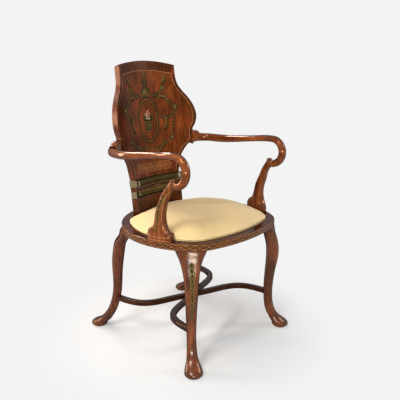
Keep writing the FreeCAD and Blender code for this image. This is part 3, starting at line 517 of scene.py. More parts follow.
raw_room = [room_at(angle, reach) for angle, reach in zip(angles, outline)]
room = [min(neighbours(raw_room, i)) for i in range(AROUND)]
room = [sum(neighbours(room, i)) / 7 for i in range(AROUND)]
room = [min(soft, hard) for soft, hard in zip(room, raw_room)]
print("room from", round(min(room), 4), "to", round(max(room), 4))

# %% [markdown]
# Rings of points joined by quads make any round body. The end rings are closed with a fan
# of triangles, or joined to each other where the body is itself a ring.

# %% Bodies from rings
def skin(shape, rows):
    """Joins closed rows of vertices with quads."""
    count = len(rows[0])
    for lower, upper in zip(rows, rows[1:]):
        for i in range(count):
            k = (i + 1) % count
            shape.faces.new((lower[i], lower[k], upper[k], upper[i]))


def ring_solid(rings, capped=True):
    shape = bmesh.new()
    rows = [[shape.verts.new(point) for point in ring] for ring in rings]
    skin(shape, rows if capped else rows + rows[:1])
    if capped:
        count = len(rows[0])
        for row, flip in ((rows[0], True), (rows[-1], False)):
            centre = shape.verts.new(sum((vertex.co for vertex in row), Vector()) / count)
            for i in range(count):
                corners = (row[i], row[(i + 1) % count], centre)
                shape.faces.new(corners[::-1] if flip else corners)
    bmesh.ops.recalc_face_normals(shape, faces=shape.faces)
    return shape


def mesh_from(shape, name):
    mesh = bpy.data.meshes.new(name)
    shape.to_mesh(mesh)
    shape.free()
    return mesh


def seat_ring(share, height, inward=0.0):
    """Points round the seat at a share of the outline, less a distance."""
    return [SEAT_CENTRE + way(angle) * (share * reach - inward) + UP * height
            for angle, reach in zip(angles, outline)]

# %% [markdown]
# The pad lies flat on the frame, steps out over the edge of the rebate, and rises in a
# crown that is fuller than a half ellipse. Its upper part starts a little small, because
# the simulation makes it swell.

# %% Cushion form
FRAME_TOP = 0.4472
LIP = 0.4458
SHOULDER = LIP + 0.0034
CROWN_RISE = 0.0385
CROWN_STEPS = 12
CROWN_IN, CROWN_UP = 0.72, 1.15


def pad_ring(share, inward, bulge, height):
    """Points round the pad, where bulge is the share of the room that is used."""
    return [SEAT_CENTRE + way(angle) * share * (reach - inward + bulge * free) + UP * height
            for angle, reach, free in zip(angles, outline, room)]


rings = [seat_ring(share, FRAME_TOP) for share in (0.1, 0.35, 0.6, 0.8, 0.93)]
rings.append(seat_ring(1.0, FRAME_TOP - 0.0006, 0.0006))
rings.append(pad_ring(1.0, 0.0008, 0.5, LIP + 0.0004))
rings.append(pad_ring(1.0, 0.0008, 1.0, SHOULDER))
for step in range(1, CROWN_STEPS + 1):
    turn = math.pi / 2 * step / (CROWN_STEPS + 0.5)
    height = SHOULDER + CROWN_RISE * math.sin(turn) ** CROWN_UP
    rings.append(pad_ring(math.cos(turn) ** CROWN_IN, 0.001, 1.0, height))
cushion = new_object("cushion", mesh_from(ring_solid(rings), "cushion"), cover_cloth)
print("cushion form of", len(rings), "rings, crown at", round(max(v.co.z for v in cushion.data.vertices), 4))

# %% [markdown]
# Cloth with air pressure inside is the quickest honest way to a stuffed pad. The form is
# remeshed into even squares of 4 mm, its foot is pinned, and twenty frames of simulation
# blow it up. Gravity is off, because the stuffing carries the cloth, and nothing here is
# random, so the result is the same each time.

# %% Cushion simulation
VOXEL = 0.004
FRAMES = 20
PRESSURE, STRETCH, BEND = 3.0, 25.0, 2.0


def with_modifiers(piece):
    """A piece as its modifiers make it."""
    return piece.evaluated_get(bpy.context.evaluated_depsgraph_get())


def even_mesh(piece):
    """Replaces the mesh of a piece by one of even squares."""
    remesh = piece.modifiers.new("even", "REMESH")
    remesh.mode = "VOXEL"
    remesh.voxel_size = VOXEL
    mesh = bpy.data.meshes.new_from_object(with_modifiers(piece))
    piece.modifiers.clear()
    piece.data = mesh
    return mesh


def inflate(piece):
    """Runs the cloth with pressure and returns the swollen points."""
    pinned = piece.vertex_groups.new(name="pinned")
    low = [vertex.index for vertex in piece.data.vertices if vertex.co.z < FRAME_TOP + 0.0005]
    pinned.add(low, 1.0, "REPLACE")
    cloth = piece.modifiers.new("cloth", "CLOTH")
    cloth.settings.vertex_group_mass = "pinned"
    cloth.settings.use_pressure = True
    cloth.settings.uniform_pressure_force = PRESSURE
    cloth.settings.effector_weights.gravity = 0.0
    cloth.settings.quality = 4
    cloth.settings.tension_stiffness = STRETCH
    cloth.settings.compression_stiffness = STRETCH
    cloth.settings.bending_stiffness = BEND
    cloth.point_cache.frame_start = 1
    cloth.point_cache.frame_end = FRAMES
    for number in range(1, FRAMES + 1):
        bpy.context.scene.frame_set(number)
    found = [vertex.co.copy() for vertex in with_modifiers(piece).data.vertices]
    piece.modifiers.clear()
    bpy.context.scene.frame_set(1)
    return found


mesh = even_mesh(cushion)
before = [vertex.co.copy() for vertex in mesh.vertices]
swollen = inflate(cushion)
print("cushion of", len(before), "points, swollen up to",
      round(max((new - old).length for old, new in zip(before, swollen)), 4))

# %% [markdown]
# A simulation knows nothing of the wood beside it, so its result is held in. No point may
# move further than a cap, and the sides stop where the room found above ends. The
# underside is pressed flat where it lies on the webbing. The top is then relaxed upwards
# and downwards only, which takes out creases, as taut cloth has none.

# %% Fit the cushion
CAP = 0.024
SIDE_CLEAR, BULGE_RISE, LIP_WIDTH = 0.0006, 0.003, 0.004
PAD_UNDER, UNDER_RISE, UNDER_INSET = 0.4516, 0.0015, 0.0055
TOP_LIMIT, TOP_GIVE = RAIL_TOP + 0.0460, 0.3
RELAX, RELAX_FROM = 30, LIP + 0.008


def fitted(old, new):
    """A swollen point, held inside the room and flat underneath."""
    step = new - old
    if step.length > CAP:
        step *= CAP / step.length
    point = old + step
    flat = (point - SEAT_CENTRE).xy
    angle = math.atan2(flat.y, flat.x)
    edge, free = at_angle(outline, angle), at_angle(room, angle)
    rise = min(1.0, max(0.0, (point.z - LIP) / BULGE_RISE))
    limit = edge - SIDE_CLEAR + min(0.0, free) + rise * max(0.0, free)
    if flat.length > limit:
        flat *= limit / flat.length
    point.xy = flat + SEAT_CENTRE.xy
    lowest = LIP if flat.length > edge - LIP_WIDTH else FRAME_TOP
    point.z = min(max(point.z, lowest), TOP_LIMIT + TOP_GIVE * max(0.0, point.z - TOP_LIMIT))
    if old.z < FRAME_TOP + UNDER_RISE and flat.length < edge - UNDER_INSET:
        point.z = PAD_UNDER
    return point


for vertex, old, new in zip(mesh.vertices, before, swollen):
    vertex.co = fitted(old, new)
relaxed = bmesh.new()
relaxed.from_mesh(mesh)
upper = [vertex for vertex in relaxed.verts if vertex.co.z > RELAX_FROM]
for _ in range(RELAX):
    bmesh.ops.smooth_vert(relaxed, verts=upper, factor=0.5, use_axis_z=True)
relaxed.to_mesh(mesh)
relaxed.free()
print("cushion top at", round(max(v.co.z for v in mesh.vertices), 4))

# %% [markdown]
# Under the edge of a slip seat the cloth goes down the side of the wooden frame and is
# tacked beneath it. That hem is one band, swept round the outline, with small gathers
# where the cloth is drawn in round the curve. It joins the cushion's own mesh.

# %% Hem of the cushion
HEM_BOTTOM, HEM_BEND, HEM_SIDE = 0.4333, 0.4352, 0.4400
CLOTH = 0.0014
HEM_TOP = HEM_BOTTOM + CLOTH
HEM = [(0.0004, LIP + 0.0010), (0.0004, HEM_SIDE), (0.0001, HEM_BEND), (0.0014, HEM_BOTTOM),
       (0.0085, HEM_BOTTOM), (0.0158, HEM_BOTTOM), (0.0158, HEM_TOP), (0.0080, HEM_TOP),
       (CLOTH, HEM_TOP), (CLOTH, HEM_SIDE), (CLOTH, FRAME_TOP - 0.0006)]
GATHERS, GATHER_DEPTH = 60, 0.00035


def hem_ring(inward, height):
    """Ring of the hem; the line in the middle of its underside is gathered."""
    depth = GATHER_DEPTH if 0.004 < inward < 0.012 and height < 0.434 else 0.0
    return [SEAT_CENTRE + way(angle) * (reach - inward) + UP * (height - depth * math.sin(GATHERS * angle))
            for angle, reach in zip(angles, outline)]


hem = mesh_from(ring_solid([hem_ring(*corner) for corner in HEM], capped=False), "hem")
both = bmesh.new()
both.from_mesh(cushion.data)
both.from_mesh(hem)
both.to_mesh(cushion.data)
both.free()
cushion.data.polygons.foreach_set("use_smooth", [True] * len(cushion.data.polygons))
cushion.data.materials.clear()
cushion.data.materials.append(cover_cloth)
smooth = cushion.modifiers.new("smooth", "SUBSURF")
smooth.levels = smooth.render_levels = 1
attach(cushion, SEAT)
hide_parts("seat_cover", "seat_stuffing")
print("hem", len(hem.vertices), "points")

# %% [markdown]
# From below the seat shows how it is made: six straps of webbing, three of them stepping
# over the other three, and a sheet of hessian on top of them. Straps are modelled
# directly, as thin closed strips with a thicker selvedge, because a remesh would erase them.

# %% Webbing
STRAP_HALF, STRAP_PITCH, STRAP_THICK, STRAP_STEPS = 0.025, 0.084, 0.0015, 40
STRAP_LOW = 0.4470
STRAP_HIGH = STRAP_LOW + STRAP_THICK + 0.0001
STRAP_INSET, RAMP_LENGTH = 0.006, 0.012
ACROSS = [(-1.0, 1.0), (-0.93, 1.25), (-0.86, 0.92), (0.0, 0.85), (0.86, 0.92), (0.93, 1.25), (1.0, 1.0)]


def last_true(test, low, high, rounds=18):
    """Largest value at which a test still holds, found by halving the span."""
    for _ in range(rounds):
        middle = (low + high) / 2
        low, high = (middle, high) if test(middle) else (low, middle)
    return low


def strap_reach(offset, along_x, sign):
    """How far a strap runs along its length before the edge of the frame."""
    def inside(distance):
        point = Vector((sign * distance, offset)) if along_x else Vector((offset, sign * distance))
        return point.length < at_angle(outline, math.atan2(point.y, point.x)) - STRAP_INSET

    return sign * last_true(inside, 0.0, 0.4, 24)


def strap_height(along, along_x):
    """Underside of a strap: the side straps step up over the others."""
    if not along_x:
        return STRAP_LOW
    outer = STRAP_PITCH + STRAP_HALF + 2 * RAMP_LENGTH
    share = min(1.0, max(0.0, (outer - abs(along)) / RAMP_LENGTH))
    return STRAP_LOW + share * (STRAP_HIGH - STRAP_LOW)


def add_strap(shape, middle, along_x):
    """Adds one strap; its section runs along the underside and back over the top."""
    section = [(across, 0.0) for across, _ in ACROSS]
    section += [(across, STRAP_THICK * min(1.0, 0.8 * thick)) for across, thick in ACROSS[::-1]]
    rows = []
    for step in range(STRAP_STEPS + 1):
        row = []
        for across, lift in section:
            offset = middle + across * STRAP_HALF
            start, end = [strap_reach(offset, along_x, sign) for sign in (-1, 1)]
            along = start + (end - start) * step / STRAP_STEPS
            x, y = (along, offset) if along_x else (offset, along)
            row.append(shape.verts.new((x, y + SEAT_CENTRE.y, strap_height(along, along_x) + lift)))
        rows.append(row)
    skin(shape, rows)
    shape.faces.new(rows[0][::-1])
    shape.faces.new(rows[-1])


straps = bmesh.new()
for number in (-1, 0, 1):
    for along_x in (False, True):
        add_strap(straps, number * STRAP_PITCH, along_x)
bmesh.ops.recalc_face_normals(straps, faces=straps.faces)
webbing = new_object("webbing", mesh_from(straps, "webbing"), strap_cloth)
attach(webbing, SEAT)
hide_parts("seat_webbing")
print("webbing", len(webbing.data.vertices), "points")

# %% [markdown]
# The hessian is one thin sheet over the straps, stretched and tacked all round.

# %% Hessian
HESSIAN_LOW, HESSIAN_HIGH, HESSIAN_IN = 0.4502, 0.4511, 0.0105
shares = (0.15, 0.5, 0.8, 1.0)
rings = [seat_ring(share, HESSIAN_LOW, HESSIAN_IN * share) for share in shares]
rings += [seat_ring(share, HESSIAN_HIGH, HESSIAN_IN * share) for share in shares[::-1]]
hessian = new_object("hessian", mesh_from(ring_solid(rings), "hessian"), hessian_cloth)
width = max(outline) * 2 - 2 * HESSIAN_IN
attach(hessian, SEAT)
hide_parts("seat_hessian")

# %% [markdown]
# The painted ornament is made of very thin slips laid on the wood, each a closed solid
# that stands a fraction of a millimetre proud. They are drawn flat, in metres, and wrapped
# on a surface by rays. Three shapes are enough: a ribbon along a line, a petal and a dot.
# All the motifs are common classical ones: husks, rosettes, leafy sprays, beads and plaits.

# %% Flat shapes
SHAPE_POINTS = 10


def spaced(start, end, count):
    """Evenly spaced numbers, both ends included."""
    return [start + (end - start) * step / (count - 1) for step in range(count)]


def petal(foot, turn, length, width, pointed=0.8):
    """Outline of a leaf from its foot, turned anticlockwise from +u."""
    points = []
    for angle in full_turn(SHAPE_POINTS):
        along = length * (1 + math.cos(angle)) / 2
        across = width / 2 * math.sin(angle) * math.sin(angle / 2) ** pointed
        points.append((foot[0] + along * math.cos(turn) - across * math.sin(turn),
                       foot[1] + along * math.sin(turn) + across * math.cos(turn)))
    return points


def leaf_pair(foot, turn, spread, length, share=0.5):
    """Two petals that open to both sides of a direction; share is their width by length."""
    return [petal(foot, turn + side * spread, length, share * length) for side in (-1, 1)]


def flower(centre, size, petals=6):
    return [petal(centre, turn, size, 0.75 * size, 0.3) for turn in full_turn(petals)]


def dot(centre, radius):
    return [(centre[0] + radius * math.cos(angle), centre[1] + radius * math.sin(angle))
            for angle in full_turn(SHAPE_POINTS)]


def ribbon(points, width, closed=False):
    """Left and right edge of a line with a width."""
    count = len(points)
    edges = []
    for i, (u, v) in enumerate(points):
        before = points[(i - 1) % count] if closed or i else points[0]
        after = points[(i + 1) % count] if closed or i < count - 1 else points[-1]
        du, dv = after[0] - before[0], after[1] - before[1]
        length = math.hypot(du, dv) or 1.0
        nu, nv = -dv / length * width / 2, du / length * width / 2
        edges.append(((u - nu, v - nv), (u + nu, v + nv)))
    return edges + edges[:1] if closed else edges


def bar(half, height, width, count=2):
    """A level ribbon across the middle."""
    return ribbon([(u, height) for u in spaced(-half, half, count)], width)


def mirror(line):
    return [(-u, v) for u, v in line]


def both_sides(shapes):
    return list(shapes) + [mirror(shape[::-1]) for shape in shapes]

# %% [markdown]
# Each slip is wrapped point by point. A surface here is a function that turns a flat point
# into a place on the wood and the normal there. The top of the slip stands proud along
# that normal and its foot is sunk in the wood, so that no gap shows from the side.

# %% Wrapping slips
PROUD, SUNK = 0.00028, 0.0004
VEIN_PROUD, FLOWER_PROUD, BAND_PROUD = 0.00034, 0.00031, 0.0002


def slips(name, material, surface, ribbons=(), shapes=(), proud=PROUD):
    """Wraps ribbons and small outlines on a surface as one piece of thin closed slips."""
    paint = bmesh.new()

    def pair(point):
        place, normal = surface(*point)
        return paint.verts.new(place + normal * proud), paint.verts.new(place - normal * SUNK)

    for edges in ribbons:
        rows = [pair(left) + pair(right) for left, right in edges]
        for first, second in zip(rows, rows[1:]):
            for a, b in ((0, 2), (2, 3), (3, 1), (1, 0)):
                paint.faces.new((first[a], first[b], second[b], second[a]))
        for row in (rows[0], rows[-1]):
            paint.faces.new((row[0], row[1], row[3], row[2]))
    for shape in shapes:
        pairs = [pair(point) for point in shape]
        paint.faces.new([top for top, foot in pairs])
        paint.faces.new([foot for top, foot in reversed(pairs)])
        for (top, foot), (next_top, next_foot) in zip(pairs, pairs[1:] + pairs[:1]):
            paint.faces.new((top, foot, next_foot, next_top))
    bmesh.ops.remove_doubles(paint, verts=paint.verts, dist=1e-7)
    bmesh.ops.recalc_face_normals(paint, faces=paint.faces)
    piece = new_object(name, mesh_from(paint, name), material)
    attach(piece, CHAIR)
    print(name, len(piece.data.polygons), "faces")

# %% [markdown]
# Old paint and gilding are matt, uneven and rubbed. One material does all the colours:
# a noise thins the paint towards a darker tone, and a broader one darkens it in clouds.

# %% Paint
GILT = [(0.42, (0.070, 0.050, 0.024)), (0.60, (0.32, 0.26, 0.15))]


def paint_material(name, colour, worn, rough=0.5, metal=0.0, gilt_from=None):
    """Rubbed paint. Beyond gilt_from, to both sides of the chair's middle, it turns gilt."""
    material, tree, shader, place = start_material(name)
    rubbed = noise(tree, place, 240.0, Detail=4.0, Roughness=0.6)
    clouds = ramp(tree, noise(tree, place, 35.0, Detail=2.0), [(0.35, (0.7, 0.7, 0.7)), (0.6, WHITE)])
    shown = blend(tree, "MULTIPLY", 0.7, ramp(tree, rubbed, [(0.38, worn), (0.58, colour)]), clouds)
    if gilt_from:
        away = maths(tree, "ABSOLUTE", node(tree, "SeparateXYZ", Vector=place).outputs["X"])
        spread = node(tree, "TexCoord").outputs["Generated"]
        gilt = ramp(tree, noise(tree, spread, 90.0, Detail=4.0), GILT)
        shown = blend(tree, "MIX", maths(tree, "GREATER_THAN", away, gilt_from), shown, gilt)
    fill(shader, Base_Color=shown, Roughness=remap(tree, rubbed, rough - 0.15, rough + 0.15),
         Metallic=metal, Specular_IOR_Level=0.05, Normal=bumped(tree, rubbed, 0.25, 0.0002))
    return material


gold = paint_material("paint_gold", (0.42, 0.26, 0.075), (0.17, 0.095, 0.026), metal=0.15)
olive = paint_material("paint_olive", (0.170, 0.108, 0.030), (0.075, 0.046, 0.013))
green = paint_material("paint_green", (0.030, 0.026, 0.008), (0.011, 0.010, 0.003))
rose = paint_material("paint_rose", (0.46, 0.17, 0.09), (0.26, 0.075, 0.035))
line_wood = paint_material("paint_line", (0.48, 0.215, 0.080), (0.27, 0.105, 0.035), rough=0.4)
cream = paint_material("paint_cream", (0.50, 0.42, 0.30), (0.23, 0.17, 0.10))
print("paints", [m.name for m in bpy.data.materials if m.name.startswith("paint_")])

# %% [markdown]
# The back is part of an upright tube that leans back, so its surface is measured by two
# numbers: the way round, u, and the height up the lean, v. A ray from the axis of the tube
# finds the wood at that place, on the panel and on the mouldings alike.

# %% Surface of the back
BACK_FRONT_RADIUS, BACK_REAR_RADIUS = 0.3315, 0.3565
BACK_REAR_Y = 0.1935
BACK_RAKE = math.radians(6.9)
lean = (Matrix.Translation((0, BACK_REAR_Y, RAIL_TOP)) @ Matrix.Rotation(-BACK_RAKE, 4, "X")
        @ Matrix.Translation((0, -BACK_REAR_RADIUS, 0)))
back_tree = surface_of("back_panel", "back_roll", "back_cove", "back_bead", "back_plinth")


def on_back(u, v):
    """Place and normal of the front of the back; both are None beside the wood."""
    angle = u / BACK_FRONT_RADIUS
    direction = lean.to_3x3() @ Vector((math.sin(angle), math.cos(angle), 0))
    return back_tree.ray_cast(lean @ Vector((0, 0, v)), direction.normalized())[:2]


def back_edge(v):
    """Largest u at which the back still has wood at a height."""
    return last_true(lambda u: on_back(u, v)[0], 0.05, 0.30)


def crest(u):
    """Height of the top edge of the back at a place."""
    return last_true(lambda v: on_back(u, v)[0], 0.45, 0.60)


print("half width at the belly", round(back_edge(0.355), 4), "crest", round(crest(0.0), 4))

# %% [markdown]
# A dark crossbanded border runs along the crest, bounded by a light stringing line that
# goes on down both sides. The border is veneer, so it is a sheet of thin slips as well:
# four rows between the line and the crest, with a hair's breadth between them.

# %% Border of the panel
BAND_WIDTH, SIDE_MARGIN, EDGE_GAP = 0.036, 0.0135, 0.0012
SIDE_LOW, SIDE_HIGH = 0.135, 0.505
BAND_ROWS = 4
sides = {v: back_edge(v) for v in spaced(SIDE_LOW, SIDE_HIGH, 64)}
reach = sides[SIDE_HIGH] - SIDE_MARGIN
lines = [[(sign * (edge - SIDE_MARGIN), v) for v, edge in sides.items()] for sign in (-1, 1)]
lines.append([(u, crest(u) - BAND_WIDTH) for u in spaced(-reach, reach, 40)])
slips("panel_stringing", line_wood, on_back, [ribbon(line, 0.0016) for line in lines])
bands = [[] for row in range(BAND_ROWS)]
for u in spaced(-reach, reach, 60):
    v = crest(u) - BAND_WIDTH + 0.0014
    depth = crest(u) - EDGE_GAP - v
    for row, band in enumerate(bands):
        band.append(((u, v + depth * (row + 0.02) / BAND_ROWS), (u, v + depth * (row + 0.98) / BAND_ROWS)))
slips("panel_crossband", wood_band, on_back, bands, proud=BAND_PROUD)
margins = [[((sign * (edge - SIDE_MARGIN + EDGE_GAP), v), (sign * (edge - EDGE_GAP), v))
            for v, edge in sides.items()] for sign in (-1, 1)]
slips("panel_side_bands", wood_band, on_back, margins, proud=BAND_PROUD)

# %% [markdown]
# The middle of the panel holds an oval medallion. Lines and shapes are collected by colour
# and laid on the wood together at the end, so each colour is one piece.

# %% Medallion
OVAL_U, OVAL_V, OVAL_MIDDLE = 0.050, 0.086, 0.339


def ellipse(share):
    return [(OVAL_U * share * math.cos(angle), OVAL_MIDDLE + OVAL_V * share * math.sin(angle))
            for angle in full_turn(72)]


green_lines = [ribbon(ellipse(1.0), 0.0040, True), ribbon(ellipse(0.84), 0.0018, True)]
gold_lines = [ribbon(ellipse(0.925), 0.0022, True)]
green_shapes, gold_shapes, rose_shapes, cream_shapes = [], [], [], []
print("medallion", 2 * OVAL_U, "m wide and", 2 * OVAL_V, "m high")

# %% [markdown]
# In it stands a posy: leaves, and a round bunch of flowers over a striped basket. Each
# flower is turned from the last by the golden angle, as seeds are in a sunflower, which
# fills a circle evenly without any list of places.

# %% Posy
BASKET_TOP, BASKET_ROW, GOLDEN_ANGLE = OVAL_MIDDLE - 0.004, 0.0065, 2.39996
for turn in spaced(math.radians(10), math.radians(170), 9):
    green_shapes.append(petal((0.0, BASKET_TOP + 0.002), turn, 0.027 + 0.014 * math.sin(turn), 0.0085))
for number in range(13):
    out, turn = 0.0052 * math.sqrt(number), GOLDEN_ANGLE * number
    place = (0.85 * out * math.cos(turn), BASKET_TOP + 0.023 + out * math.sin(turn))
    (cream_shapes if number % 3 == 1 else rose_shapes).extend(flower(place, 0.0052, 5))
for row, half in enumerate((0.0195, 0.0180, 0.0165, 0.0150, 0.0135)):
    height = BASKET_TOP - 0.0025 - BASKET_ROW * row
    gold_lines.append(bar(half, height, 0.0026))
    green_lines.append(bar(half, height - BASKET_ROW / 2, 0.0040))
gold_lines.append(bar(0.018, BASKET_TOP - 0.036, 0.0032))
print("posy of", len(rose_shapes) + len(cream_shapes), "petals")

# %% [markdown]
# A fan of leaves opens on the medallion, with a drop of husks over it and two bars below.

# %% Fan of leaves
FAN_FOOT, UPWARD = OVAL_MIDDLE + OVAL_V + 0.016, math.pi / 2
for turn in spaced(math.radians(5), math.radians(175), 11):
    length = 0.020 + 0.016 * math.sin(turn)
    green_shapes.append(petal((0.0, FAN_FOOT), turn, length, 0.0090))
    gold_shapes.append(petal((0.0, FAN_FOOT), turn + 0.13, 0.75 * length, 0.0030))
for step in range(4):
    foot, size = (0.0, FAN_FOOT + 0.030 + 0.012 * step), 0.0235 - 0.0030 * step
    green_shapes += leaf_pair(foot, UPWARD, 0.75, size, 0.45)
    gold_shapes.append(petal(foot, UPWARD, 0.6 * size, 0.0036))
for down, half, width in ((0.004, 0.013, 0.0036), (0.010, 0.018, 0.0030)):
    gold_lines.append(bar(half, FAN_FOOT - down, width))
    green_lines.append(bar(half, FAN_FOOT - down - 0.003, width))
print("green shapes so far", len(green_shapes))

# %% [markdown]
# A garland of husks hangs round the medallion from rosettes. Each swag is a hanging line,
# and small petals are strung along it in pairs, largest at its middle. That rhythm makes
# painted husks look right from far.

# %% Garland
UPPER, MIDDLE, LOWER = (0.080, 0.458), (0.128, 0.382), (0.104, 0.264)


def hanging(start, end, drop, count):
    """Points of a swag between two places."""
    return [(start[0] + (end[0] - start[0]) * t, start[1] + (end[1] - start[1]) * t - drop * 4 * t * (1 - t))
            for t in spaced(0.0, 1.0, count)]


def husks(line, size):
    """Pairs of petals along a line, largest at its middle."""
    found = []
    for i, ((u, v), (next_u, next_v)) in enumerate(zip(line, line[1:])):
        turn = math.atan2(next_v - v, next_u - u)
        length = size * (1.25 - 0.6 * abs(2 * i / (len(line) - 1) - 1))
        found += leaf_pair((u, v), turn, 0.6, length)
    return found


for start, end, drop, count, size in (
        ((0.016, 0.446), UPPER, 0.022, 8, 0.0125), (UPPER, MIDDLE, 0.016, 8, 0.0120),
        ((0.051, 0.362), MIDDLE, 0.030, 9, 0.0135), (MIDDLE, LOWER, 0.002, 10, 0.0115),
        ((0.0, 0.232), LOWER, 0.012, 10, 0.0125)):
    line = hanging(start, end, drop, count)
    green_shapes += both_sides(husks(line, size))
    gold_lines += [ribbon(points, 0.0018) for points in (line, mirror(line))]
for u, v in (UPPER, MIDDLE, LOWER):
    for place in ((-u, v), (u, v)):
        green_shapes += flower(place, 0.0125, 8)
        gold_shapes += flower(place, 0.0085)
        rose_shapes.append(dot(place, 0.0026))
print("green shapes so far", len(green_shapes))

# %% [markdown]
# Leafy sprays fill the shoulders, the flanks and the foot. A spray is a stem that turns a
# little at each step, and its leaves grow smaller towards the tip.

# %% Sprays
SPRAY_STEPS = 9


def spray(start, turn, length, curl, leaf):
    """A curling stem and the leaves that grow from it in pairs."""
    stem, leaves = [start], []
    for step in range(SPRAY_STEPS):
        turn += curl / SPRAY_STEPS
        u, v = stem[-1]
        stride = length / SPRAY_STEPS
        stem.append((u + stride * math.cos(turn), v + stride * math.sin(turn)))
        leaves += leaf_pair(stem[-1], turn, 0.75, leaf * (1.15 - 0.8 * step / SPRAY_STEPS))
    return stem, leaves


for start, turn, length, curl, leaf in (
        ((0.078, 0.474), 0.4, 0.045, 1.5, 0.0120), ((0.066, 0.300), 0.1, 0.070, 2.4, 0.0150),
        ((0.058, 0.420), 0.6, 0.050, -2.0, 0.0120), ((0.016, 0.206), 0.1, 0.080, 1.2, 0.0130)):
    stem, leaves = spray(start, turn, length, curl, leaf)
    green_lines += [ribbon(points, 0.0016) for points in (stem, mirror(stem))]
    pairs = both_sides(leaves)
    green_shapes += pairs[::2]
    gold_shapes += pairs[1::2]
print("gold shapes", len(gold_shapes))

# %% [markdown]
# A plait of two waves crosses the foot of the panel, like the one on the rail. Then all the
# colours are laid on. The finer layers stand a little prouder, so that they never flicker
# against the ones beneath.

# %% Lay the ornament
PLAIT_V, PLAIT_HALF, PLAIT_WAVE, PLAIT_EDGE = 0.1600, 0.088, 0.0105, 0.0155
plait = []
for sign in (-1, 1):
    wave = [(u, PLAIT_V + sign * PLAIT_WAVE * math.sin(4 * math.pi * u / PLAIT_HALF))
            for u in spaced(-PLAIT_HALF, PLAIT_HALF, 121)]
    plait.append(ribbon(wave, 0.0019))
plait += [bar(PLAIT_HALF, PLAIT_V + sign * PLAIT_EDGE, 0.0016, 30) for sign in (-1, 1)]
eyes = [dot((PLAIT_HALF * (k + 0.5) / 4, PLAIT_V), 0.0028) for k in range(-4, 4)]
slips("panel_plait", line_wood, on_back, plait, eyes)
slips("panel_paint_green", green, on_back, green_lines, green_shapes)
slips("panel_paint_gold", olive, on_back, gold_lines, gold_shapes, proud=VEIN_PROUD)
slips("panel_paint_rose", rose, on_back, (), rose_shapes, proud=FLOWER_PROUD)
slips("panel_paint_cream", cream, on_back, (), cream_shapes, proud=FLOWER_PROUD)

# %% [markdown]
# The two mouldings under the panel are painted dark green. The upper one is reeded with
# upright olive slips, the lower one is set with beads, and their ends are cream and gilt.

# %% Mouldings
ROLL_LOW, ROLL_HIGH, ROLL_REACH = 0.1000, 0.1250, 0.1160
BEAD_LINE, BEAD_REACH = 0.0715, 0.1130
REEDS = BEADS = 27
GILT_FROM = 0.1165
dress(["back_roll", "back_bead"],
      paint_material("paint_moulding", (0.022, 0.021, 0.007), (0.009, 0.009, 0.003), gilt_from=GILT_FROM))
reeds = [ribbon([(u, v) for v in spaced(ROLL_LOW + 0.0035, ROLL_HIGH - 0.0035, 9)], 0.0024)
         for u in spaced(-ROLL_REACH + 0.010, ROLL_REACH - 0.010, REEDS)]
slips("roll_reeds", olive, on_back, reeds, proud=0.0007)
lines = [bar(reach, v, 0.0017, 60) for v, reach in (
    (0.0975, ROLL_REACH), (0.0835, ROLL_REACH), (0.0775, BEAD_REACH), (0.0655, BEAD_REACH))]
slips("moulding_lines", gold, on_back, lines)
beads = [dot((u, BEAD_LINE), 0.0029) for u in spaced(-BEAD_REACH + 0.008, BEAD_REACH - 0.008, BEADS)]
slips("moulding_beads", olive, on_back, (), beads, proud=0.0009)
ends = []
for side in (-1, 1):
    for low, high, reach in ((ROLL_LOW + 0.003, ROLL_HIGH - 0.003, ROLL_REACH),
                             (BEAD_LINE - 0.005, BEAD_LINE + 0.005, BEAD_REACH)):
        ends += [ribbon([(side * (reach - inset), v) for v in spaced(low, high, 9)], 0.0024)
                 for inset in (0.0, 0.0030, 0.0060)]
slips("moulding_ends", cream, on_back, ends, proud=0.0008)

# %% [markdown]
# Round the outer face of the seat rail runs a guilloche: two waves that cross like a plait,
# with a bead in each loop. The number of waves is whole, so the pattern closes on itself.

# %% Rail guilloche
RAIL_MIDDLE, RAIL_WAVE, RAIL_FACE_RADIUS = 0.4330, 0.0062, 0.28
LOOPS, LOOP_STEPS = 58, 12
rail_tree = surface_of(*named("seat_rail"))


def on_rail(angle, height):
    return from_outside(rail_tree, angle, height)


def around(line, width):
    """Ribbon round the rail: angles along, metres up, with an even width."""
    return [((angle, height - width / 2), (angle, height + width / 2)) for angle, height in line]


turns = spaced(0, 2 * math.pi, LOOPS * LOOP_STEPS + 1)
waves = [around([(a, RAIL_MIDDLE + sign * RAIL_WAVE * math.sin(LOOPS / 2 * a)) for a in turns], 0.0013)
         for sign in (-1, 1)]
edges = [around([(a, height) for a in turns[::3]], 0.0009) for height in (0.4243, 0.4417)]
slips("rail_guilloche", line_wood, on_rail, waves + edges)
eyes = []
for index in range(LOOPS):
    middle = 2 * math.pi * (index + 0.5) / LOOPS
    eyes.append([(middle + u / RAIL_FACE_RADIUS, RAIL_MIDDLE + v) for u, v in dot((0, 0), 0.0014)])
slips("rail_beads", gold, on_rail, (), eyes)

# %% [markdown]
# Husk drops hang down the outer faces of the arm supports and the front knees. The middle
# line of each piece is found by slicing its mesh at many heights, so the ornament follows
# the real curve of the wood and never floats beside it.

# %% Faces of upright pieces
def slice_of(name, height, half=0.004):
    """Centre and half size of a CAD node at a height."""
    points = [v.co for v in nodes[name].data.vertices if abs(v.co.z - height) < half]
    if not points:
        return slice_of(name, height, half * 2)
    low = Vector((min(p.x for p in points), min(p.y for p in points)))
    high = Vector((max(p.x for p in points), max(p.y for p in points)))
    return (low + high) / 2, (high - low) / 2


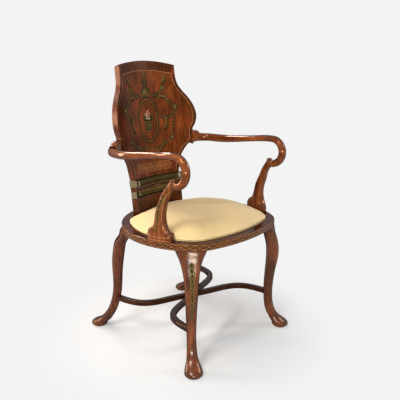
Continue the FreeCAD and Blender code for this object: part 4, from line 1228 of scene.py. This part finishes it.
def face_surface(names, facing, heights, centres):
    """Surface on one side of upright pieces: u is across, v is the height. Where a ray would
    pass beside the wood, it is brought in a little."""
    tree = surface_of(*names)
    across = UP.cross(facing)

    def place_on(u, v):
        index = min(max(1, bisect_left(heights, v)), len(heights) - 1)
        low, high = heights[index - 1:index + 1]
        middle = centres[index - 1].lerp(centres[index], (v - low) / (high - low))
        start = middle.to_3d() + UP * v + facing * 0.2
        for step in range(12):
            place, normal, _, _ = tree.ray_cast(start + across * u * (1 - 0.08 * step), -facing)
            if place:
                return place, normal

    return place_on

# %% [markdown]
# One function paints a whole drop: pairs of olive leaves, a green core in each, and a gold
# dot over it. The leaves grow smaller towards the foot of the drop.

# %% Supports and knees
KNEE_FACING = math.radians(39)
DOWNWARD = -math.pi / 2
SUPPORT_HEIGHTS, KNEE_HEIGHTS = spaced(0.446, 0.618, 30), spaced(0.165, 0.415, 36)


def husk_drop(kind, name, surface, heights, size, rise, radius):
    """Paints husks at these heights, each with a dot of a radius a little way above its foot."""
    leaves, cores = [], []
    for index, v in enumerate(heights):
        length = size * (0.55 + 0.45 * index / (len(heights) - 1))
        leaves += leaf_pair((0.0, v), DOWNWARD, 0.45, length, 0.52)
        cores.append(petal((0.0, v), DOWNWARD, 1.1 * length, 0.38 * length))
    slips(kind + "_husks_" + name, olive, surface, (), leaves)
    slips(kind + "_cores_" + name, green, surface, (), cores, proud=FLOWER_PROUD)
    dots = [dot((0.0, v + rise), radius) for v in heights]
    slips(kind + "_dots_" + name, gold, surface, (), dots, proud=VEIN_PROUD)


for side, name in ((-1, "left"), (1, "right")):
    support, knee = "arm_support_" + name, "leg_front_" + name
    centres, halves = zip(*(slice_of(support, height) for height in SUPPORT_HEIGHTS))
    surface = face_surface([support], Vector((side, 0, 0)), SUPPORT_HEIGHTS, centres)
    lines = [ribbon([(edge * (half.y - 0.0042), v) for v, half in zip(SUPPORT_HEIGHTS, halves) if v > 0.473],
                    0.0014) for edge in (-1, 1)]
    lines += [bar(slice_of(support, v)[1].y - 0.003, v, 0.0015, 15) for v in (0.4490, 0.4600)]
    slips("support_lines_" + name, line_wood, surface, lines)
    husk_drop("support", name, surface, spaced(0.486, 0.606, 8), 0.0220, 0.0006, 0.0011)

    facing = Vector((side * math.sin(KNEE_FACING), -math.cos(KNEE_FACING), 0))
    centres = [slice_of(knee, height)[0] for height in KNEE_HEIGHTS]
    surface = face_surface([knee, "knee_brackets_front_" + name], facing, KNEE_HEIGHTS, centres)
    husk_drop("knee", name, surface, spaced(0.200, 0.386, 12), 0.0240, 0.001, 0.0014)
    slips("knee_lines_" + name, line_wood, surface, [bar(0.017, v, 0.0016, 15) for v in (0.4010, 0.4085)])
